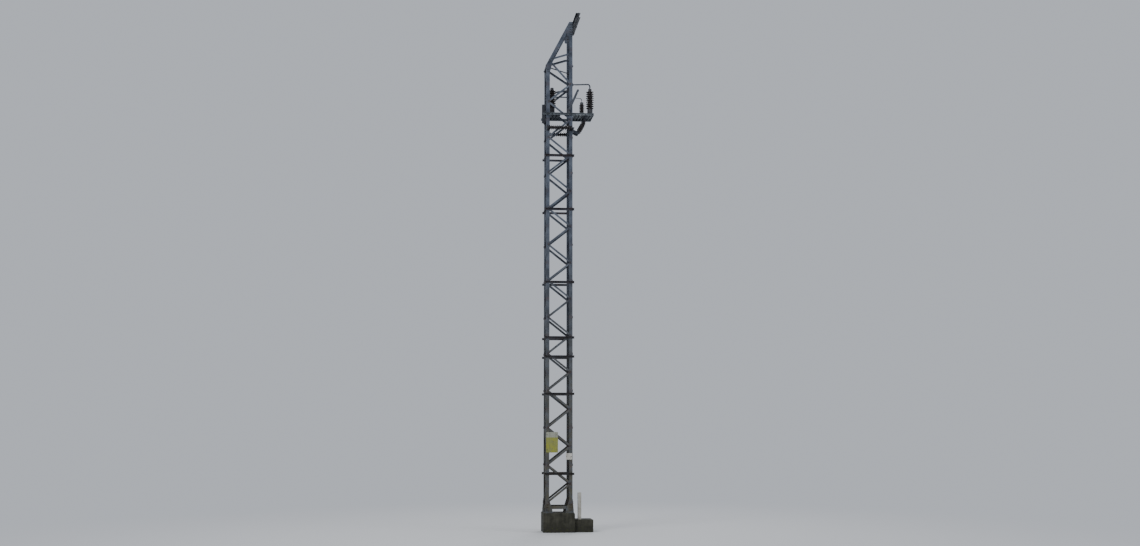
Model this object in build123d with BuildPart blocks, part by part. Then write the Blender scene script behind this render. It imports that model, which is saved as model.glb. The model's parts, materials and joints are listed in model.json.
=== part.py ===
from build123d import *
from math import atan2, ceil, cos, degrees, hypot, radians, sin, sqrt, tan
import os

# Laced steel mast beside a railway, in millimetres. +X points across to the track, +Y along it,
# +Z up. The origin is on the ground, in the middle of the concrete block that carries the mast.

# Concrete
block_top = 500
block_width = 820
block_edge = 20
ledge_drop = 175
ledge_reach = 490
ledge_width = 620

# Mast body: four corner angles on a square plan, laced on every side
mast_width = 700
leg_size = 90
leg_wall = 9
leg_root = 10
foot_size = 215
foot_thick = 20
foot_margin = 35
anchor_hole = 26
anchor_outer = 60
anchor_inner = 140
gusset_thick = 8
gusset_height = 330
gusset_shoulder = 60
gusset_edge = 5
zigzag_rise = 963
zigzags = 12
lacing_start = 270
bar_size = 50
bar_wall = 5
bar_gauge = 45
bar_lap = 12
bar_cope = 70
ring_size = 80
ring_wall = 8

# Head: the field-side legs end at the knee and rakes climb from there to the track-side legs
head_rise = 1175
head_bar_height = 150
head_bar_climb = 155
near_top_inset = 85
near_top_rise = 84
far_top_rise = 4
far_top_fall = 396
brace_width = 60
brace_thick = 8
brace_drop = 86
joint_plate = 8
joint_plate_up = 170
joint_plate_down = 230
joint_plate_width = 150

# Beam for the overhead wires, along the track
beam_depth = 120
beam_flange = 55
beam_web = 7
beam_gap = 12
beam_drop = 70
beam_near = 850
beam_far = 150
eye_reach = 95
eye_hole = 26
cleat_reach = 125
cleat_size = 70
cleat_wall = 7

# Clamped collars, at heights counted in lacing bars from the lowest node
collar_bars = (1.58, 5.88, 7.9, 8.94, 11.97, 16.01, 19.01)
collar_overhang = 45
collar_size = 60
collar_wall = 6
rod_size = 16
rod_offset = 24
rod_spare = 30
fit = 0.5

# Switch shelf, whose top crosses the lacing this many bars below the highest node
shelf_bars_down = 2.64
shelf_depth = 60
shelf_flange = 40
shelf_web = 6
shelf_left_reach = 90
shelf_right_reach = 575
bearer_height = 50
bearer_width = 80
bearer_wall = 6
bearer_clear = 10
inner_bearers = 3
inner_bearer_start = 120
outer_bearers = 6
outer_bearer_start = 30
left_unit_inset = 180
right_unit_reach = 510
small_unit_reach = 256
small_unit_inset = 80
arm_inset = 105
arm_length = 610
arm_lean = 24
arm_width = 60
arm_thick = 14
arm_pivot_rise = 62
lug_wall = 10
lug_length = 80
lug_width = 38
lug_height = 96
pin_size = 18

# Insulators
post_height = 500
post_radius = 106
post_core = 46
post_sheds = 7
small_height = 240
small_radius = 72
small_core = 42
small_sheds = 4
rod_radius = 68
rod_core = 34
cross_sheds = 6
strut_sheds = 4
cap_radius = 46
cap_height = 60
flange_radius = 70
flange_thick = 16
stool_height = 185
stool_width = 130
stool_wall = 6

# Lying insulators across the near and far sides, on brackets
cross_drop = 360
cross_standoff = 88
cross_plate = 10
cross_plate_inset = 20
cross_plate_height = 130
cross_cap_length = 36

# Inclined insulators that prop the shelf from a rail on the track-side legs
strut_spread = 110
strut_rail_drop = 375
strut_rail_size = 80
strut_rail_flange = 50
strut_rail_wall = 6
strut_foot_reach = 115
strut_foot_drop = 60
strut_head_reach = 365
strut_head_drop = 45
strut_head_rail = 40
strut_lug_wall = 8
strut_lug_reach = 24
strut_tongue = 46
strut_tongue_thick = 12
strut_tongue_width = 48
strut_cap_length = 30

# Anchor post for the wires on the field side
anchor_length = 500
anchor_rise = 40
anchor_size = 90
anchor_flange = 80
anchor_wall = 7
anchor_rail_size = 60
anchor_rail_wall = 8
anchor_rail_inset = 60

# Bent bar from the track-side leg to the cap of the outer insulator
busbar_size = 36
busbar_rise = 125
busbar_climb = 100
busbar_stub = 30
busbar_bend = 60
busbar_pad = 10
busbar_pad_size = 80

# Horn from the cap of the small insulator to the side of the switch arm
horn_size = 19
horn_rise = 100
horn_bend = 45
horn_past = 18

# Ties across the two ends of the knee, and the links on the far side
knee_margin = 60
knee_tie_size = 70
knee_tie_wall = 7
link_size = 50
link_wall = 8
link_rise = 735
link_climb = 90
low_link_size = 30
low_link_rise = 600

# Marker post on the ledge
marker_width = 95
marker_thick = 70
marker_height = 695
marker_edge = 18
marker_reach = 135
marker_inset = 120

half = mast_width / 2
foot_level = block_top + foot_thick
lacing_level = block_top + lacing_start
bar_rise = zigzag_rise / 2
top_node_level = lacing_level + zigzags * zigzag_rise
knee_level = top_node_level + knee_margin
apex_level = knee_level + head_rise
node_x = half - bar_gauge
shelf_level = top_node_level - shelf_bars_down * bar_rise
shelf_left = half + shelf_left_reach
shelf_right = half + shelf_right_reach
left_unit_x = left_unit_inset - half
right_unit_x = half + right_unit_reach
small_unit_x = half + small_unit_reach
small_unit_y = small_unit_inset - half
arm_x = half - arm_inset
arm_y = -half - shelf_flange / 2
marker_x = block_width / 2 + marker_reach
marker_y = marker_inset - ledge_width / 2

os.makedirs("parts", exist_ok=True)


def keep(piece, name):
    """Name a finished piece and write it."""
    piece.part.label = name
    export_step(piece.part, f"parts/{name}.step")


def side(turn, depth=0):
    """The plane of one side of the mast seen from outside: x to the right, y up from the ground."""
    angle = radians(turn)
    out = Vector(sin(angle), -cos(angle), 0)
    return Plane(origin=out * (half - depth), x_dir=(cos(angle), sin(angle), 0), z_dir=out)


def angle_outline(x, y, run_x, run_y, wall):
    """Corner points of an L section whose heel is at x, y and whose flanges run by run_x and run_y."""
    step_x = wall if run_x > 0 else -wall
    step_y = wall if run_y > 0 else -wall
    return (
        (x, y),
        (x + run_x, y),
        (x + run_x, y + step_y),
        (x + step_x, y + step_y),
        (x + step_x, y + run_y),
        (x, y + run_y),
    )


def channel_outline(x, y, height, flange, wall):
    """Corner points of a C section with its web's back on x, centred on y, and flanges towards +x."""
    low, high = y - height / 2, y + height / 2
    return (
        (x, low),
        (x + flange, low),
        (x + flange, low + wall),
        (x + wall, low + wall),
        (x + wall, high - wall),
        (x + flange, high - wall),
        (x + flange, high),
        (x, high),
    )


def make_foundation():
    """Concrete block under the mast, with weathered top edges, and the lower ledge beside it."""
    with BuildPart() as block:
        with BuildSketch(Plane.XY):
            Rectangle(block_width, block_width)
        extrude(amount=block_top)
        chamfer(block.faces().sort_by(Axis.Z)[-1].edges(), length=block_edge)
    keep(block, "foundation_block")
    with BuildPart() as ledge:
        with BuildSketch(Plane.XY):
            with Locations((block_width / 2 + ledge_reach / 2, 0)):
                Rectangle(ledge_reach, ledge_width)
        extrude(amount=block_top - ledge_drop)
        rim = ledge.faces().sort_by(Axis.Z)[-1].edges().sort_by(Axis.X)[1:]
        chamfer(rim, length=block_edge)
    keep(ledge, "foundation_ledge")


def make_feet():
    """A foot plate under each leg, bored for its two anchor bolts."""
    middle = half + foot_margin - foot_size / 2
    outer = 2 * (half - anchor_outer)
    inner = 2 * (half - anchor_inner)
    with BuildPart() as feet:
        with BuildSketch(Plane.XY.offset(block_top)):
            with GridLocations(2 * middle, 2 * middle, 2, 2):
                Rectangle(foot_size, foot_size)
            with GridLocations(outer, inner, 2, 2):
                Circle(anchor_hole / 2, mode=Mode.SUBTRACT)
            with GridLocations(inner, outer, 2, 2):
                Circle(anchor_hole / 2, mode=Mode.SUBTRACT)
        extrude(amount=foot_thick)
    keep(feet, "foot_plates")


def make_gussets():
    """Plates outside both flanges of each leg, tapered from the foot plate up to the leg's width."""
    low_out = half + foot_margin - gusset_edge
    low_in = half + foot_margin - foot_size + gusset_edge
    shoulder = foot_level + gusset_shoulder
    outline = (
        (low_in, foot_level),
        (low_out, foot_level),
        (low_out, shoulder),
        (half, foot_level + gusset_height),
        (half - leg_size, foot_level + gusset_height),
        (low_in, shoulder),
    )
    with BuildPart() as gussets:
        for turn in (0, 90, 180, 270):
            with BuildSketch(side(turn)):
                for way in (-1, 1):
                    with BuildLine():
                        Polyline(*[(way * x, y) for x, y in outline], close=True)
                    make_face()
            extrude(amount=gusset_thick)
    keep(gussets, "foot_gussets")


def make_leg(name, side_x, side_y, top):
    """One corner angle, heel outwards, from its foot plate up to its top."""
    with BuildPart() as leg:
        with BuildSketch(Plane.XY.offset(foot_level)) as section:
            with BuildLine():
                Polyline(
                    *angle_outline(
                        side_x * half,
                        side_y * half,
                        -side_x * leg_size,
                        -side_y * leg_size,
                        leg_wall,
                    ),
                    close=True,
                )
            make_face()
            root = (side_x * (half - leg_wall), side_y * (half - leg_wall))
            fillet(section.vertices().sort_by_distance(root)[0], radius=leg_root)
        extrude(amount=top - foot_level)
    keep(leg, name)


def make_bars(name, turn, spans):
    """Angle bars welded inside the leg flanges of one side, each between the two points of its span."""
    places = []
    for span in spans:
        left, right = sorted(span)
        run, rise = right[0] - left[0], right[1] - left[1]
        middle = (left[0] + run / 2, left[1] + rise / 2, 0)
        places.append((hypot(run, rise), Location(middle, (0, 0, degrees(atan2(rise, run))))))
    with BuildPart() as lacing:
        with BuildSketch(side(turn, leg_wall)):
            for length, place in places:
                with Locations(place):
                    Rectangle(length + 2 * bar_lap, bar_size)
        extrude(amount=-bar_wall)
        with BuildSketch(side(turn, leg_wall + bar_wall)):
            for length, place in places:
                with Locations(place):
                    with Locations((0, (bar_size - bar_wall) / 2)):
                        Rectangle(length - 2 * bar_cope, bar_wall)
        extrude(amount=bar_wall - bar_size)
    keep(lacing, name)


def zigzag(first, bars):
    """Spans of the lacing of one side; first is -1 where the lowest node is on the left leg from outside."""
    nodes = []
    for number in range(bars + 1):
        nodes.append((first * (-1) ** number * node_x, lacing_level + number * bar_rise))
    return list(zip(nodes, nodes[1:]))


def make_ring(name, level, turns):
    """Horizontal angles between the legs, against the inside of their flanges."""
    length = mast_width - 2 * (leg_wall + leg_root + fit)
    with BuildPart() as ring:
        for turn in turns:
            with BuildSketch(side(turn, leg_wall)):
                with Locations((0, level + ring_size / 2)):
                    Rectangle(length, ring_size)
            extrude(amount=-ring_wall)
            with BuildSketch(side(turn, leg_wall + ring_wall)):
                with Locations((0, level + ring_size - ring_wall / 2)):
                    Rectangle(length - 2 * ring_size, ring_wall)
            extrude(amount=ring_wall - ring_size)
    keep(ring, name)


def rake_band(near, far):
    """Outline in a side's plane of a strip along the rake, between two depths from its outer edge.

    The strip is mitred on the top of the field-side leg and against the edge of the track-side leg.
    """
    run = mast_width - leg_size
    slope = hypot(run, head_rise)
    edge = half - leg_size
    return (
        (-half + near * slope / head_rise, knee_level),
        (edge, apex_level - near * slope / run),
        (edge, apex_level - far * slope / run),
        (-half + far * slope / head_rise, knee_level),
    )


def make_rake(name, turn, flip):
    """Raking angle of the head on the near or the far side."""
    with BuildPart() as rake:
        with BuildSketch(side(turn)):
            with BuildLine():
                Polyline(*[(flip * x, y) for x, y in rake_band(0, leg_size)], close=True)
            make_face()
        extrude(amount=-leg_wall)
        with BuildSketch(side(turn, leg_wall)):
            with BuildLine():
                Polyline(*[(flip * x, y) for x, y in rake_band(0, leg_wall)], close=True)
            make_face()
        extrude(amount=leg_wall - leg_size)
    keep(rake, name)


def make_head_bar(name, turn, flip):
    """The single bar that ties a rake to the track-side leg."""
    start_x = -half + head_bar_height * (mast_width - leg_size) / head_rise + leg_size
    start_z = knee_level + head_bar_height
    make_bars(name, turn, [((flip * start_x, start_z), (flip * node_x, start_z + head_bar_climb))])


def make_brace():
    """Level flat bar across the body under the knee, from one corner to the opposite one."""
    reach = (half - leg_wall) * sqrt(2) - brace_width / 2
    with BuildPart() as brace:
        with BuildSketch(Plane.XY.offset(knee_level - brace_drop)):
            Rectangle(2 * reach, brace_width, rotation=45)
        extrude(amount=brace_thick)
    keep(brace, "knee_brace")


def make_joint_plates(name, turn, flip):
    """Outside plates that join the rake to the legs at the knee and at the apex."""
    run = mast_width - leg_size
    edge = half - leg_size
    knee_top = -half + joint_plate_up * run / head_rise
    slope = hypot(run, head_rise) / head_rise
    knee = (
        (-half, knee_level - joint_plate_down),
        (-half + leg_size, knee_level - joint_plate_down),
        (-half + joint_plate_width, knee_level),
        (knee_top + leg_size * slope, knee_level + joint_plate_up),
        (knee_top, knee_level + joint_plate_up),
        (-half, knee_level),
    )
    apex_low = apex_level - joint_plate_up - joint_plate_down
    apex = (
        (half, apex_level),
        (edge, apex_level),
        (edge - joint_plate_up * run / head_rise, apex_level - joint_plate_up),
        (edge - leg_size / 2, apex_low),
        (half, apex_low),
    )
    with BuildPart() as plates:
        with BuildSketch(side(turn)):
            for outline in (knee, apex):
                with BuildLine():
                    Polyline(*[(flip * x, y) for x, y in outline], close=True)
                make_face()
        extrude(amount=joint_plate)
    keep(plates, name)


def make_outside_flats(name, turn, levels, size, wall):
    """Flat bars across the outside of one side of the mast."""
    with BuildPart() as flats:
        with BuildSketch(side(turn)):
            with Locations(*[(0, level) for level in levels]):
                Rectangle(mast_width, size)
        extrude(amount=wall)
    keep(flats, name)


def make_beam():
    """Two channels back to back outside the track-side legs, with an eye plate at each end."""
    level = apex_level - beam_drop
    near_end = -half - beam_near
    far_end = half + beam_far
    inner_back = half + beam_flange
    outer_back = inner_back + beam_gap
    for name, back, way in (("beam_inner_channel", inner_back, -1), ("beam_outer_channel", outer_back, 1)):
        with BuildPart() as channel:
            with BuildSketch(Plane.XZ.offset(-near_end)):
                with BuildLine():
                    outline = channel_outline(0, level, beam_depth, beam_flange, beam_web)
                    Polyline(*[(back + way * x, y) for x, y in outline], close=True)
                make_face()
            extrude(amount=near_end - far_end)
        keep(channel, name)
    plate = beam_depth - 4 * beam_web
    for name, end, way in (("beam_eye_near", near_end, -1), ("beam_eye_far", far_end, 1)):
        with BuildPart() as eye:
            with BuildSketch(Plane.YZ.offset(inner_back)):
                with Locations((end - way * plate / 2, level)):
                    Rectangle(plate + 2 * eye_reach, plate)
                with Locations((end + way * eye_reach / 2, level)):
                    Circle(eye_hole / 2, mode=Mode.SUBTRACT)
            extrude(amount=beam_gap)
        keep(eye, name)


def make_beam_cleats():
    """Angle cleats under the beam that carry it on the track-side legs."""
    level = apex_level - beam_drop - beam_depth / 2
    with BuildPart() as cleats:
        for start in (-half, half - leg_size):
            with BuildSketch(Plane.XZ.offset(-start)):
                with BuildLine():
                    Polyline(*angle_outline(half, level, cleat_reach, -cleat_size, cleat_wall), close=True)
                make_face()
            extrude(amount=-leg_size)
    keep(cleats, "beam_cleats")


def make_collar(name, bars_up):
    """Two angles across the near and far sides, drawn together by rods outside the legs."""
    level = lacing_level + bars_up * bar_rise
    length = mast_width + 2 * collar_overhang
    rod_x = half + rod_offset
    rod_end = half + collar_wall + rod_spare
    rod_level = level - collar_size / 2
    with BuildPart() as collar:
        for way in (-1, 1):
            with BuildSketch(Plane.YZ.offset(-length / 2)):
                with BuildLine():
                    outline = angle_outline(way * half, level, way * collar_size, -collar_size, collar_wall)
                    Polyline(*outline, close=True)
                make_face()
            extrude(amount=length)
        with BuildSketch(Plane.XZ.offset(rod_end)):
            with Locations((-rod_x, rod_level), (rod_x, rod_level)):
                Circle(rod_size / 2 + fit)
        extrude(amount=-2 * rod_end, mode=Mode.SUBTRACT)
        with BuildSketch(Plane.XZ.offset(rod_end)):
            with Locations((-rod_x, rod_level), (rod_x, rod_level)):
                Circle(rod_size / 2)
        extrude(amount=-2 * rod_end)
    keep(collar, name)


def spread(first, last, count):
    """Evenly spaced places from first to last."""
    return [first + (last - first) * number / (count - 1) for number in range(count)]


def make_shelf():
    """Channels across the near and far sides at switch height, and bearers between them.

    The bearers inside the body stop short of the lacing bars that pass there.
    """
    middle = shelf_level - shelf_depth / 2
    length = shelf_left + shelf_right
    for name, way in (("shelf_channel_near", -1), ("shelf_channel_far", 1)):
        with BuildPart() as channel:
            with BuildSketch(Plane.YZ.offset(-shelf_left)):
                with BuildLine():
                    outline = channel_outline(0, middle, shelf_depth, shelf_flange, shelf_web)
                    Polyline(*[(way * (half + x), y) for x, y in outline], close=True)
                make_face()
            extrude(amount=length)
        keep(channel, name)
    share_up = ceil(shelf_bars_down) - shelf_bars_down
    lean = atan2(bar_rise, 2 * node_x)
    bar_edge = node_x * (1 - 2 * share_up) - bar_size / 2 / sin(lean)
    inner_first = -half + inner_bearer_start + bearer_width / 2
    inner = spread(inner_first, bar_edge - bearer_clear - bearer_width / 2, inner_bearers)
    outer_first = half + outer_bearer_start + bearer_width / 2
    outer = spread(outer_first, shelf_right - bearer_width / 2, outer_bearers)
    with BuildPart() as bearers:
        with BuildSketch(Plane.XZ.offset(half)):
            for x in inner + outer:
                with BuildLine():
                    outline = channel_outline(0, 0, bearer_width, bearer_height, bearer_wall)
                    Polyline(*[(x + y, shelf_level - u) for u, y in outline], close=True)
                make_face()
        extrude(amount=-mast_width)
    keep(bearers, "shelf_bearers")


def shed_profile(height, core, shed, count):
    """Half section of a shedded insulator from its foot up: pairs of radius and height."""
    pitch = height / count
    points = [(0, 0), (core, 0)]
    for number in range(count):
        low = number * pitch
        points.append((core, low + pitch * 0.25))
        points.append((shed, low + pitch * 0.42))
        points.append((core, low + pitch * 0.85))
    points += [(core, height), (0, height)]
    return points


def make_body(name, plane, height, core, shed, count):
    """Shedded insulator body that stands on a plane, along its normal."""
    upright = Plane(origin=plane.origin, x_dir=plane.x_dir, z_dir=-plane.y_dir)
    with BuildPart() as body:
        with BuildSketch(upright):
            with BuildLine():
                Polyline(*shed_profile(height, core, shed, count), close=True)
            make_face()
        revolve(axis=Axis(plane.origin, plane.z_dir))
    keep(body, name)


def make_post(name, x, y, stool, height, core, radius, count):
    """Upright post insulator: a shedded body between a metal foot and a metal cap, on a stool or not."""
    foot = shelf_level + stool
    start = foot + flange_thick
    with BuildPart() as fittings:
        if stool:
            with BuildSketch(Plane.XY.offset(shelf_level)):
                with Locations((x, y)):
                    Rectangle(stool_width, 2 * flange_radius)
                    Rectangle(
                        stool_width - 2 * stool_wall,
                        2 * (flange_radius - stool_wall),
                        mode=Mode.SUBTRACT,
                    )
            extrude(amount=stool)
        with BuildSketch(Plane.XY.offset(foot)):
            with Locations((x, y)):
                Circle(flange_radius)
        extrude(amount=flange_thick)
        with BuildSketch(Plane.XY.offset(start + height)):
            with Locations((x, y)):
                Circle(cap_radius)
        extrude(amount=cap_height)
        chamfer(fittings.faces().sort_by(Axis.Z)[-1].edges(), length=cap_height / 6)
    keep(fittings, f"{name}_fittings")
    make_body(f"{name}_insulator", Plane(origin=(x, y, start)), height, core, radius, count)


def make_crosses():
    """Lying insulators between brackets on the legs, on the near and the far side."""
    level = shelf_level - shelf_depth - cross_drop
    plate_x = half - cross_plate_inset
    length = 2 * (plate_x - cross_plate - cross_cap_length)
    for name, turn in (("cross_insulator_near", 0), ("cross_insulator_far", 180)):
        face = side(turn)
        middle = face.origin + face.z_dir * cross_standoff + Vector(0, 0, level)
        start = middle - face.x_dir * (length / 2)
        lying = Plane(origin=start, x_dir=face.y_dir, z_dir=face.x_dir)
        make_body(name, lying, length, rod_core, rod_radius, cross_sheds)
    with BuildPart() as brackets:
        for turn in (0, 180):
            face = side(turn)
            middle = face.origin + face.z_dir * cross_standoff + Vector(0, 0, level)
            with BuildSketch(face):
                with Locations((plate_x - leg_size / 2 + cross_plate_inset, level)):
                    Rectangle(leg_size, cross_plate_height)
                with Locations((-plate_x + leg_size / 2 - cross_plate_inset, level)):
                    Rectangle(leg_size, cross_plate_height)
            extrude(amount=cross_plate)
            with BuildSketch(face):
                with Locations((plate_x - cross_plate / 2, level), (cross_plate / 2 - plate_x, level)):
                    Rectangle(cross_plate, cross_plate_height)
            extrude(amount=cross_standoff + cap_radius)
            for way in (-1, 1):
                seat = middle + face.x_dir * (way * length / 2)
                with BuildSketch(Plane(origin=seat, x_dir=face.y_dir, z_dir=face.x_dir * way)):
                    Circle(cap_radius)
                extrude(amount=cross_cap_length)
    keep(brackets, "cross_brackets")


def make_struts():
    """Inclined insulators with tongues, pinned between lugs on two rails."""
    head_top = shelf_level - shelf_depth
    head_base = head_top - strut_head_rail
    head_x = half + strut_head_reach
    rail_middle = head_top - strut_rail_drop
    rail_front = half + strut_rail_flange
    low = (rail_front + strut_foot_reach, rail_middle - strut_foot_drop)
    high = (head_x, head_base - strut_head_drop)
    run, rise = high[0] - low[0], high[1] - low[1]
    length = hypot(run, rise)
    along = Vector(run / length, 0, rise / length)
    plain = strut_tongue + strut_cap_length
    reach = half + shelf_flange
    for name, y in (("strut_insulator_near", -strut_spread), ("strut_insulator_far", strut_spread)):
        start = Vector(low[0], y, low[1]) + along * plain
        plane = Plane(origin=start, x_dir=(0, 1, 0), z_dir=along)
        make_body(name, plane, length - 2 * plain, rod_core, rod_radius, strut_sheds)
    with BuildPart() as ends:
        for y in (-strut_spread, strut_spread):
            for pin, way in ((low, 1), (high, -1)):
                point = Vector(pin[0], y, pin[1])
                seat = point + along * (way * plain)
                with BuildSketch(Plane(origin=seat, x_dir=(0, 1, 0), z_dir=along * -way)):
                    Circle(cap_radius)
                extrude(amount=strut_cap_length)
                with BuildSketch(Plane(origin=seat, x_dir=(0, 1, 0), z_dir=along * -way)):
                    Rectangle(strut_tongue_thick, strut_tongue_width)
                extrude(amount=plain + strut_lug_reach)
    keep(ends, "strut_ends")
    with BuildPart() as rails:
        with BuildSketch(Plane.XZ.offset(reach)):
            with BuildLine():
                outline = channel_outline(
                    half, rail_middle, strut_rail_size, strut_rail_flange, strut_rail_wall
                )
                Polyline(*outline, close=True)
            make_face()
            with BuildLine():
                outline = channel_outline(
                    0, 0, strut_rail_size, strut_head_rail, strut_rail_wall
                )
                Polyline(*[(head_x + y, head_base + u) for u, y in outline], close=True)
            make_face()
        extrude(amount=-2 * reach)
        for y in (-strut_spread, strut_spread):
            for way in (-1, 1):
                cheek = y + way * strut_tongue_thick / 2
                with BuildSketch(Plane.XZ.offset(-cheek)):
                    with BuildLine():
                        Polyline(
                            (rail_front, rail_middle + strut_rail_size / 2),
                            (rail_front, rail_middle - strut_rail_size / 2),
                            (low[0] - strut_lug_reach, low[1] - strut_lug_reach),
                            (low[0] + strut_lug_reach, low[1] - strut_lug_reach),
                            (low[0] + strut_lug_reach, low[1] + strut_lug_reach),
                            close=True,
                        )
                    make_face()
                    with BuildLine():
                        Polyline(
                            (high[0] - strut_rail_size / 2, head_base),
                            (high[0] + strut_rail_size / 2, head_base),
                            (high[0] + strut_lug_reach, high[1] - strut_lug_reach),
                            (high[0] - strut_lug_reach, high[1] - strut_lug_reach),
                            close=True,
                        )
                    make_face()
                extrude(amount=-way * strut_lug_wall)
    keep(rails, "strut_rails")


def make_anchor():
    """Flats across the field side and the upright channel that takes the wires there."""
    middle = shelf_level + anchor_rise
    spread = anchor_length / 2 - anchor_rail_inset
    make_outside_flats(
        "anchor_rails", 270, (middle - spread, middle + spread), anchor_rail_size, anchor_rail_wall
    )
    back = -half - anchor_rail_wall
    with BuildPart() as post:
        with BuildSketch(Plane.XY.offset(middle - anchor_length / 2)):
            with BuildLine():
                outline = channel_outline(0, 0, anchor_size, anchor_flange, anchor_wall)
                Polyline(*[(back - x, y) for x, y in outline], close=True)
            make_face()
        extrude(amount=anchor_length)
    keep(post, "anchor_post")


def make_arm():
    """Leaning switch arm on a pin between the cheeks of its lug, which stands on the near shelf channel."""
    pivot = Vector(arm_x, arm_y, shelf_level + arm_pivot_rise)
    tilt = radians(arm_lean)
    along = Vector(sin(tilt), 0, cos(tilt))
    with BuildPart() as lug:
        with BuildSketch(Plane.XY.offset(shelf_level)):
            with Locations((arm_x, arm_y)):
                Rectangle(lug_length, lug_width)
        extrude(amount=lug_wall)
        for way in (-1, 1):
            cheek = arm_y + way * (arm_thick / 2 + fit)
            with BuildSketch(Plane.XZ.offset(-cheek)):
                with Locations((arm_x, shelf_level + lug_height / 2)):
                    Rectangle(arm_width, lug_height)
            extrude(amount=-way * lug_wall)
        with BuildSketch(Plane.XZ.offset(-arm_y - arm_thick / 2 - lug_wall)):
            with Locations((pivot.X, pivot.Z)):
                Circle(pin_size / 2)
        extrude(amount=arm_thick + 2 * lug_wall)
    keep(lug, "arm_lug")
    middle = pivot + along * (arm_length / 2)
    with BuildPart() as arm:
        with BuildSketch(Plane.XZ.offset(-arm_y - arm_thick / 2)):
            with Locations((middle.X, middle.Z)):
                SlotOverall(arm_length + arm_width, arm_width, rotation=90 - arm_lean)
            with Locations((pivot.X, pivot.Z)):
                Circle(pin_size / 2 + fit, mode=Mode.SUBTRACT)
        extrude(amount=arm_thick)
    keep(arm, "switch_arm")


def make_horn():
    """Round bar from the cap of the small insulator that ends beside the switch arm."""
    cap_top = shelf_level + flange_thick + small_height + cap_height
    level = cap_top + horn_rise
    end_x = arm_x + (level - shelf_level - arm_pivot_rise) * tan(radians(arm_lean)) - horn_past
    end_y = arm_y + arm_thick / 2 + fit + horn_size / 2
    start = Vector(small_unit_x, small_unit_y, cap_top)
    with BuildPart() as horn:
        with BuildLine() as path:
            FilletPolyline(
                start,
                Vector(small_unit_x, small_unit_y, level),
                Vector(end_x, end_y, level),
                radius=horn_bend,
            )
        with BuildSketch(Plane(origin=start)):
            Circle(horn_size / 2)
        sweep(path=path.wires()[0])
    keep(horn, "contact_horn")


def make_busbar():
    """Round bar from a pad on the near track-side leg, bent down onto the outer insulator's cap."""
    leg_y = -half + leg_size / 2
    cap_top = shelf_level + stool_height + flange_thick + post_height + cap_height
    top = cap_top + busbar_rise
    level = top - busbar_climb
    start = Vector(half + busbar_pad, leg_y, level)
    with BuildPart() as busbar:
        with BuildSketch(Plane.YZ.offset(half)):
            with Locations((leg_y, level)):
                Rectangle(busbar_pad_size, busbar_pad_size)
        extrude(amount=busbar_pad)
        with BuildLine() as path:
            FilletPolyline(
                start,
                start + Vector(busbar_stub, 0, 0),
                Vector(right_unit_x, 0, top),
                Vector(right_unit_x, 0, cap_top),
                radius=busbar_bend,
            )
        with BuildSketch(Plane(origin=start, z_dir=(1, 0, 0))):
            Circle(busbar_size / 2)
        sweep(path=path.wires()[0])
    keep(busbar, "busbar")


def make_link():
    """Flat links of the switch gear across the outside of the far side, one rising and one level."""
    level = shelf_level + link_rise
    tilt = degrees(atan2(link_climb, 2 * node_x))
    with BuildPart() as link:
        with BuildSketch(side(180)):
            with Locations((0, level)):
                Rectangle(2 * node_x + link_size, link_size, rotation=-tilt)
            with Locations((0, shelf_level + low_link_rise)):
                Rectangle(2 * node_x + low_link_size, low_link_size)
        extrude(amount=link_wall)
    keep(link, "far_link")


def make_marker():
    """Short pale post that stands on the ledge."""
    with BuildPart() as marker:
        with BuildSketch(Plane.XY.offset(block_top - ledge_drop)):
            with Locations((marker_x, marker_y)):
                Rectangle(marker_width, marker_thick)
        extrude(amount=marker_height)
        chamfer(marker.faces().sort_by(Axis.Z)[-1].edges(), length=marker_edge)
    keep(marker, "marker_post")


make_foundation()
make_feet()
make_gussets()
make_leg("leg_near_left", -1, -1, knee_level)
make_leg("leg_far_left", -1, 1, knee_level)
make_leg("leg_near_right", 1, -1, apex_level)
make_leg("leg_far_right", 1, 1, apex_level)
near_zigzag = zigzag(-1, 2 * zigzags)
far_zigzag = zigzag(1, 2 * zigzags)
near_zigzag[-1] = (near_zigzag[-1][0], (near_top_inset - half, knee_level + near_top_rise))
far_zigzag[-1] = ((-node_x, knee_level - far_top_fall), (node_x, knee_level + far_top_rise))
make_bars("lacing_near", 0, near_zigzag)
make_bars("lacing_far", 180, far_zigzag)
make_bars("lacing_right", 90, zigzag(-1, 2 * zigzags + 2))
make_bars("lacing_left", 270, zigzag(-1, 2 * zigzags))
make_ring("base_ring", foot_level + ring_size, (0, 90, 180, 270))
make_rake("rake_near", 0, 1)
make_rake("rake_far", 180, -1)
make_head_bar("head_bar_near", 0, 1)
make_head_bar("head_bar_far", 180, -1)
make_brace()
make_joint_plates("joint_plates_near", 0, 1)
make_joint_plates("joint_plates_far", 180, -1)
knee_tie_level = knee_level - knee_tie_size / 2
make_outside_flats("knee_tie_left", 270, (knee_tie_level,), knee_tie_size, knee_tie_wall)
make_outside_flats("knee_tie_right", 90, (knee_tie_level,), knee_tie_size, knee_tie_wall)
make_beam()
make_beam_cleats()
for number, bars_up in enumerate(collar_bars, start=1):
    make_collar(f"collar_{number}", bars_up)
make_shelf()
make_post("right", right_unit_x, 0, stool_height, post_height, post_core, post_radius, post_sheds)
make_post("left", left_unit_x, 0, stool_height, post_height, post_core, post_radius, post_sheds)
make_post("small", small_unit_x, small_unit_y, 0, small_height, small_core, small_radius, small_sheds)
make_crosses()
make_struts()
make_anchor()
make_arm()
make_horn()
make_busbar()
make_link()
make_marker()
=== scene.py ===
# %% [markdown]
# # A laced steel railway mast
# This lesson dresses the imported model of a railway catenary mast. The steelwork, the concrete and
# the switch gear come from the frame, where every size is already right. What is added here is what
# the eye needs: zinc that has gone dull, rust at the joints, glazed insulators with real sheds, and
# the bolts that hold it all together.

import json
import math

import bmesh
import bpy
import numpy as np
from mathutils import Matrix, Vector, noise


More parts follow.
